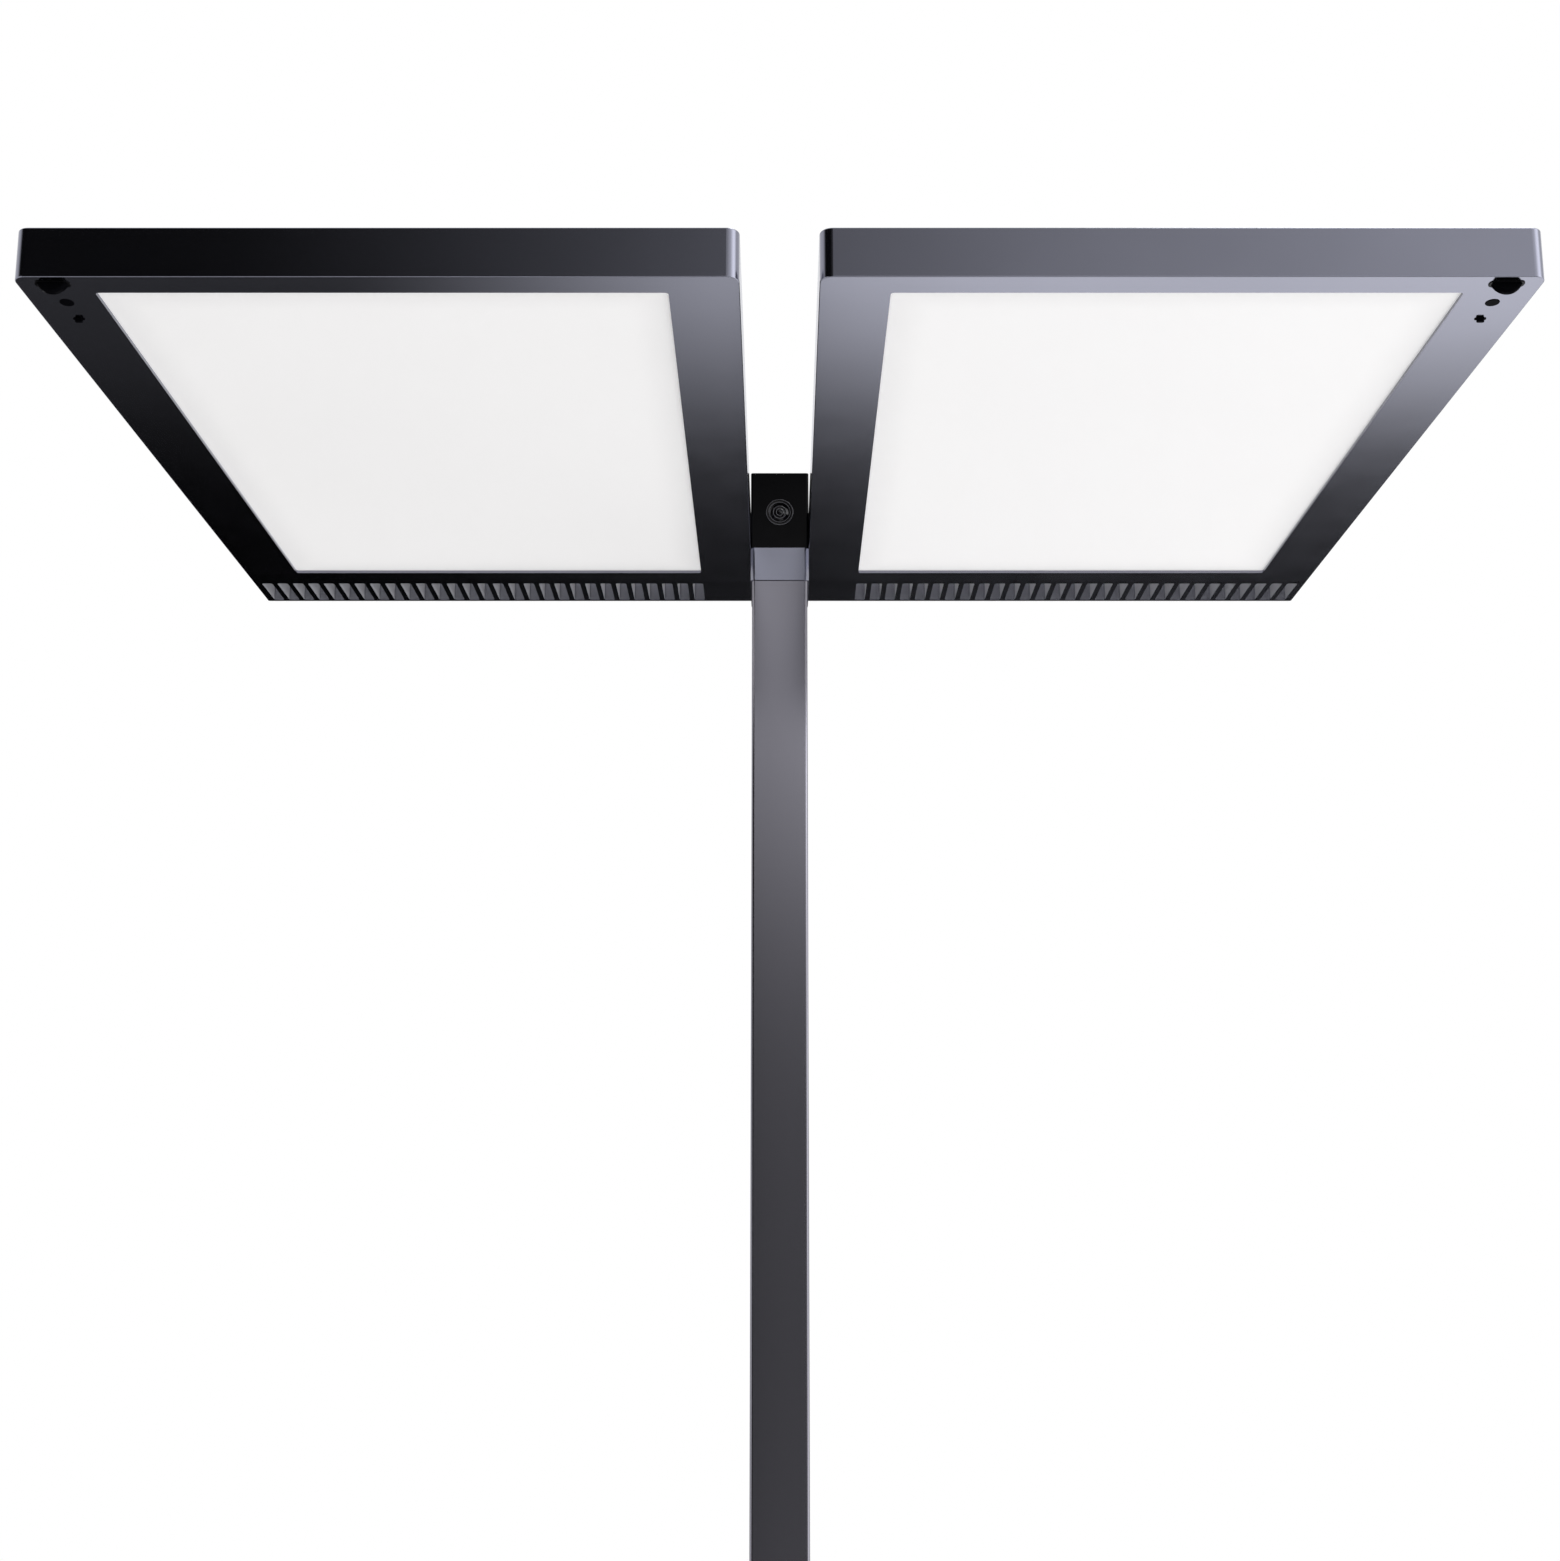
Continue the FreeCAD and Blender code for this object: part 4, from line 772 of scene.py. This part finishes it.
shape = bmesh.new()
lathe(shape, [(EYE_SEAT_RADIUS, eye_back), (EYE_SEAT_RADIUS, eye_back + EYE_SEAT_THICKNESS),
              (EYE_RADIUS, eye_back + EYE_SEAT_THICKNESS), (EYE_RADIUS, -0.25 * MM),
              (EYE_RADIUS - 0.25 * MM, 0), (8.9 * MM, 0), (8.6 * MM, -0.45 * MM),
              (7.9 * MM, -0.5 * MM), (7.75 * MM, -0.1 * MM), (7.4 * MM, -0.1 * MM),
              (7.1 * MM, -0.9 * MM), (6.7 * MM, -0.95 * MM), (6.7 * MM, -3.0 * MM)])
look_forward(shape)
rings = add_piece("eye_rings", finish_mesh("eye_rings", shape), "black_matte", finish="eye_glass")
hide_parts("sensor_ring")
print("eye at height", round(eye_middle, 4), "m, its front at", round(eye_front, 4), "m")

# %% [markdown]
# ## The lens of the eye
#
# In the middle sits a small lens with two ridges round a dome. It could be one mesh with the rings,
# but it is a piece of its own on the lamp, and it stays one here. The same lathe makes it, and it
# looks forward in the same way.

# %% Lens of the eye
shape = bmesh.new()
lathe(shape, [(6.5 * MM, -5.0 * MM), (6.5 * MM, -0.95 * MM), (6.3 * MM, -0.75 * MM),
              (5.2 * MM, -0.6 * MM), (5.0 * MM, -0.3 * MM), (4.7 * MM, -0.2 * MM),
              (4.4 * MM, -0.3 * MM), (4.2 * MM, -0.65 * MM), (3.0 * MM, -0.6 * MM),
              (2.75 * MM, -0.3 * MM), (2.5 * MM, -0.2 * MM), (2.25 * MM, -0.3 * MM),
              (2.1 * MM, -0.6 * MM), (1.2 * MM, -0.55 * MM), (0.8 * MM, -0.25 * MM),
              (0.4 * MM, -0.12 * MM), (0.1 * MM, -0.1 * MM)])
look_forward(shape)
eye = add_piece("eye_lens", finish_mesh("eye_lens", shape, 60.0), "lens", finish="eye_glass")
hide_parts("sensor_lens")
print("faces of the lens:", len(eye.data.polygons))

# %% [markdown]
# ## Painted highlights on the crests of the eye
#
# The crests of the steps each catch a thin line of light, and that line is painted on them as a
# fine grey line in the black glass: a painted highlight. They could be cut off as pieces of their
# own,
# but the finish can find them too: it measures how far a point is from the middle of the eye, and
# is paler at four radii.

# %% Crests of the eye
CREST_RADII = (9.7 * MM, 7.6 * MM, 4.7 * MM, 2.5 * MM)
CREST_WIDTH = 0.22 * MM
# Painted highlight: a pale grey on each crest in place of the line of light it catches.
CREST_HIGHLIGHT = (0.11, 0.11, 0.12)

parts = place_parts(eye_tree)
radius = from_axis(eye_tree, maths(eye_tree, "ABSOLUTE", parts["X"]),
                   away_from(eye_tree, parts["Z"], eye_middle))
nearest = maths(eye_tree, "MINIMUM", *(away_from(eye_tree, radius, crest) for crest in CREST_RADII))
off_crest = smooth_step(eye_tree, nearest, 0.5 * CREST_WIDTH, CREST_WIDTH)
paint_over(eye_tree, eye_shader, maths(eye_tree, "SUBTRACT", 1.0, off_crest), CREST_HIGHLIGHT)
print("crests of the eye:", len(CREST_RADII))

# %% [markdown]
# ## The stage
#
# A plain pale floor takes the lamp's shadow. A floor that simply ended would leave a line in the
# picture, and an endless one a horizon. So it is a disc that turns clear towards its edge and fades
# into the white behind it.

# %% Floor
FLOOR_RADIUS = 3.2
FLOOR_FADE_START = 1.2
FLOOR_FADE_END = 0.92 * FLOOR_RADIUS

shape = bmesh.new()
bmesh.ops.create_circle(shape, cap_ends=True, radius=FLOOR_RADIUS, segments=128)
floor = bpy.data.objects.new("floor", finish_mesh("floor", shape))
bpy.context.scene.collection.objects.link(floor)

tree, shader = new_finish("floor", (0.82, 0.82, 0.83), 0.6)
tint(tree, shader, noise(tree, 0.6), (0.81, 0.81, 0.82), (0.83, 0.83, 0.84))
relief(tree, shader, noise(tree, 10 * MM), 0.05 * MM)
place = tree.nodes.new("ShaderNodeTexCoord")
reach = tree.nodes.new("ShaderNodeVectorMath")
reach.operation = "LENGTH"
tree.links.new(place.outputs["Object"], reach.inputs[0])
fade = between(tree, reach.outputs["Value"], 0.0, 1.0, FLOOR_FADE_START, FLOOR_FADE_END)
clear = tree.nodes.new("ShaderNodeBsdfTransparent")
blend = tree.nodes.new("ShaderNodeMixShader")
tree.links.new(fade, blend.inputs["Fac"])
tree.links.new(shader.outputs["BSDF"], blend.inputs[1])
tree.links.new(clear.outputs["BSDF"], blend.inputs[2])
tree.links.new(blend.outputs["Shader"], tree.nodes["Material Output"].inputs["Surface"])
floor.data.materials.append(finishes["floor"])
print("floor fades out from", FLOOR_FADE_START, "to", round(FLOOR_FADE_END, 2), "m")

# %% [markdown]
# ## The room in the reflections
#
# Satin metal has hardly a colour of its own: what it shows is the room. Here the room is white, for
# the eye, for glass and for metal alike. White alone would make the lamp one flat grey, so two
# graded cards stand in it, as in any studio where metal is lit, and only the metal sees them. They
# could be planes with a glow, but those would stand in the way of a camera on the other side. Drawn
# in the world, they are a matter of direction: so far to the right, so far to the back, so far up.

# %% The white room
STEEP_UP, STEEP_DOWN = (0.62, 0.80), (-0.62, -0.80)     # plain white above and below these

world = bpy.data.worlds.new("studio")
bpy.context.scene.world = world
world.use_nodes = True
tree = world.node_tree
backdrop = tree.nodes["Background"]
backdrop.inputs["Color"].default_value = (1.0, 1.0, 1.0, 1)

way = tree.nodes.new("ShaderNodeTexCoord")
axes = tree.nodes.new("ShaderNodeSeparateXYZ")
tree.links.new(way.outputs["Generated"], axes.inputs["Vector"])
right, back, up = axes.outputs["X"], axes.outputs["Y"], axes.outputs["Z"]
sideways = maths(tree, "ABSOLUTE", right)
above_and_below = maths(tree, "MAXIMUM", smooth_step(tree, up, *STEEP_UP),
                        smooth_step(tree, up, *STEEP_DOWN))
print("white room of strength", backdrop.inputs["Strength"].default_value)

# %% [markdown]
# ## The front card
#
# It is what the front faces of the heads and the pole mirror. It is nearly black on the left and
# grows lighter to the right and upwards, as if a large lamp stood on the right. A low bright window
# in its middle lights the collar and the top of the pole, and a light foot on the right lights the
# lower pole. The card is wider above than below, and around it the room is white.

# %% Front card
FRONT_SPREAD, FRONT_TONES = (-0.28, 0.60), (0.01, 1.20)     # from left to right
FRONT_RISE, FRONT_RISE_TONES = (0.0, 0.45), (0.5, 1.0)      # from level to high
WINDOW_SILL, WINDOW_HEAD = (0.13, 0.30), (0.385, 0.345)     # its soft lower and upper edge
WINDOW_SPREAD, WINDOW_TONES = (-0.12, 0.04), (0.0, 1.25)
FOOT_TOP, FOOT_BOTTOM = (-0.16, -0.34), (-0.72, -0.55)
FOOT_SPREAD, FOOT_TONES = (-0.12, 0.12), (0.05, 0.86)
RIGHT_END, RIGHT_END_TONES = (0.50, 0.85), (0.0, 1.5)
UPPER_SIDE, LOWER_SIDE, LOWER_PART = (0.80, 0.97), (0.55, 0.69), (0.15, -0.05)

front_wall = maths(tree, "MULTIPLY", smooth_step(tree, right, *FRONT_SPREAD, *FRONT_TONES),
                   smooth_step(tree, up, *FRONT_RISE, *FRONT_RISE_TONES))
window = maths(tree, "MULTIPLY", smooth_step(tree, up, *WINDOW_SILL),
               smooth_step(tree, up, *WINDOW_HEAD),
               smooth_step(tree, right, *WINDOW_SPREAD, *WINDOW_TONES))
foot = maths(tree, "MULTIPLY", smooth_step(tree, up, *FOOT_TOP),
             smooth_step(tree, up, *FOOT_BOTTOM),
             smooth_step(tree, right, *FOOT_SPREAD, *FOOT_TONES))
front_card = maths(tree, "MAXIMUM", maths(tree, "ADD", front_wall, window), foot)
front_card = maths(tree, "ADD", front_card, smooth_step(tree, right, *RIGHT_END, *RIGHT_END_TONES))
beside_low = maths(tree, "MULTIPLY", smooth_step(tree, sideways, *LOWER_SIDE),
                   smooth_step(tree, up, *LOWER_PART))
front_side = maths(tree, "MAXIMUM", front_card, smooth_step(tree, sideways, *UPPER_SIDE),
                   beside_low, above_and_below)
print("front card from", FRONT_TONES[0], "on the left to", FRONT_TONES[1], "on the right")

# %% [markdown]
# ## The rear card
#
# It stands low behind the lamp, and the undersides of the heads mirror it. It is dark above and
# light at its foot, so the undersides run from light at the front edge to dark at the rear, and it
# is lighter on the right than on the left. A place on it is a direction divided by its share to the
# back: so far across, so far down. Its light part always starts at the same height, but its soft
# edge gets sharper the farther it is from the middle, because the outer strips of the heads change
# faster from light to dark than the inner ones.

# %% Rear card
LEAST_DEPTH = 0.3                  # keeps the division away from nought
EDGE_FADE = (0.42, 0.56)           # the light part begins this far down
SHARPER, SHARPER_FROM = 1.587, 0.667
REAR_SPREAD, REAR_TONES = (-0.25, 0.10), (0.08, 1.74)       # from left to right
REAR_SIDE, REAR_TOP = (0.55, 0.69), (-0.10, 0.06)

depth = maths(tree, "MAXIMUM", back, LEAST_DEPTH)
across = maths(tree, "DIVIDE", right, depth)
drop = maths(tree, "DIVIDE", maths(tree, "MULTIPLY", up, -1.0), depth)
sharper = maths(tree, "SUBTRACT", maths(tree, "MULTIPLY", drop, SHARPER), SHARPER_FROM)
edge = maths(tree, "ADD", drop, maths(tree, "MULTIPLY", maths(tree, "ABSOLUTE", across), sharper))
rear_card = maths(tree, "MULTIPLY", smooth_step(tree, edge, *EDGE_FADE),
                  smooth_step(tree, across, *REAR_SPREAD, *REAR_TONES))
rear_side = maths(tree, "MAXIMUM", rear_card, smooth_step(tree, sideways, *REAR_SIDE),
                  smooth_step(tree, up, *REAR_TOP), above_and_below)
print("rear card from", REAR_TONES[0], "on the left to", REAR_TONES[1], "on the right")

# %% [markdown]
# ## Who sees what
#
# Each kind of ray gets its own room. The eye and glass see plain white. Metal sees the white room
# with its two cards. Dull surfaces get a soft light of their own, which is stronger from the right
# than from the left and keeps a slight shade on plain plastic. One room for all would be simpler,
# but then the cards would darken the background of the picture.

# %% World
FRONT_BLEND = (0.15, -0.30)        # where the rear card's half of the room passes into the front's
FILL_SPREAD, FILL_TONES = (-0.3, 0.3), (0.05, 0.95)         # from left to right
MIRRORED_WHITE = (0.97, 0.97, 1.0, 1)
FILL_WHITE = (0.96, 0.97, 1.0, 1)

room = tree.nodes.new("ShaderNodeMix")
tree.links.new(smooth_step(tree, back, *FRONT_BLEND), room.inputs["Factor"])
tree.links.new(rear_side, room.inputs["A"])
tree.links.new(front_side, room.inputs["B"])
mirrored = tree.nodes.new("ShaderNodeBackground")
mirrored.inputs["Color"].default_value = MIRRORED_WHITE
tree.links.new(room.outputs["Result"], mirrored.inputs["Strength"])
fill = tree.nodes.new("ShaderNodeBackground")
fill.inputs["Color"].default_value = FILL_WHITE
tree.links.new(smooth_step(tree, right, *FILL_SPREAD, *FILL_TONES), fill.inputs["Strength"])

rays = tree.nodes.new("ShaderNodeLightPath")
dull_or_metal = tree.nodes.new("ShaderNodeMixShader")
tree.links.new(rays.outputs["Is Glossy Ray"], dull_or_metal.inputs["Fac"])
tree.links.new(fill.outputs["Background"], dull_or_metal.inputs[1])
tree.links.new(mirrored.outputs["Background"], dull_or_metal.inputs[2])
seen = maths(tree, "MAXIMUM", rays.outputs["Is Camera Ray"], rays.outputs["Is Transmission Ray"])
choice = tree.nodes.new("ShaderNodeMixShader")
tree.links.new(seen, choice.inputs["Fac"])
tree.links.new(dull_or_metal.outputs["Shader"], choice.inputs[1])
tree.links.new(backdrop.outputs["Background"], choice.inputs[2])
tree.links.new(choice.outputs["Shader"], tree.nodes["World Output"].inputs["Surface"])
print("world with", len(tree.nodes), "nodes")

# %% [markdown]
# ## The light
#
# One wide, soft light from above and a little from the right, as from a large cloth over the set.
# It puts a gentle shadow on the floor, catches the upper edges, and falls into the slots of the
# cooling bars. A lamp close to the pole would do this too, but its light would fade along the two
# metres of the pole, while that of a sun lamp stays even.

# %% Soft light
SKY_STRENGTH = 1.6
SKY_WIDTH = math.radians(25.0)
SKY_DIRECTION = (0.36, -0.10, 0.92)

light = bpy.data.lights.new("soft_sky", "SUN")
light.energy = SKY_STRENGTH
light.angle = SKY_WIDTH
lamp = bpy.data.objects.new("soft_sky", light)
lamp.rotation_euler = Vector(SKY_DIRECTION).to_track_quat("Z", "Y").to_euler()
bpy.context.scene.collection.objects.link(lamp)
print("soft light of strength", SKY_STRENGTH)
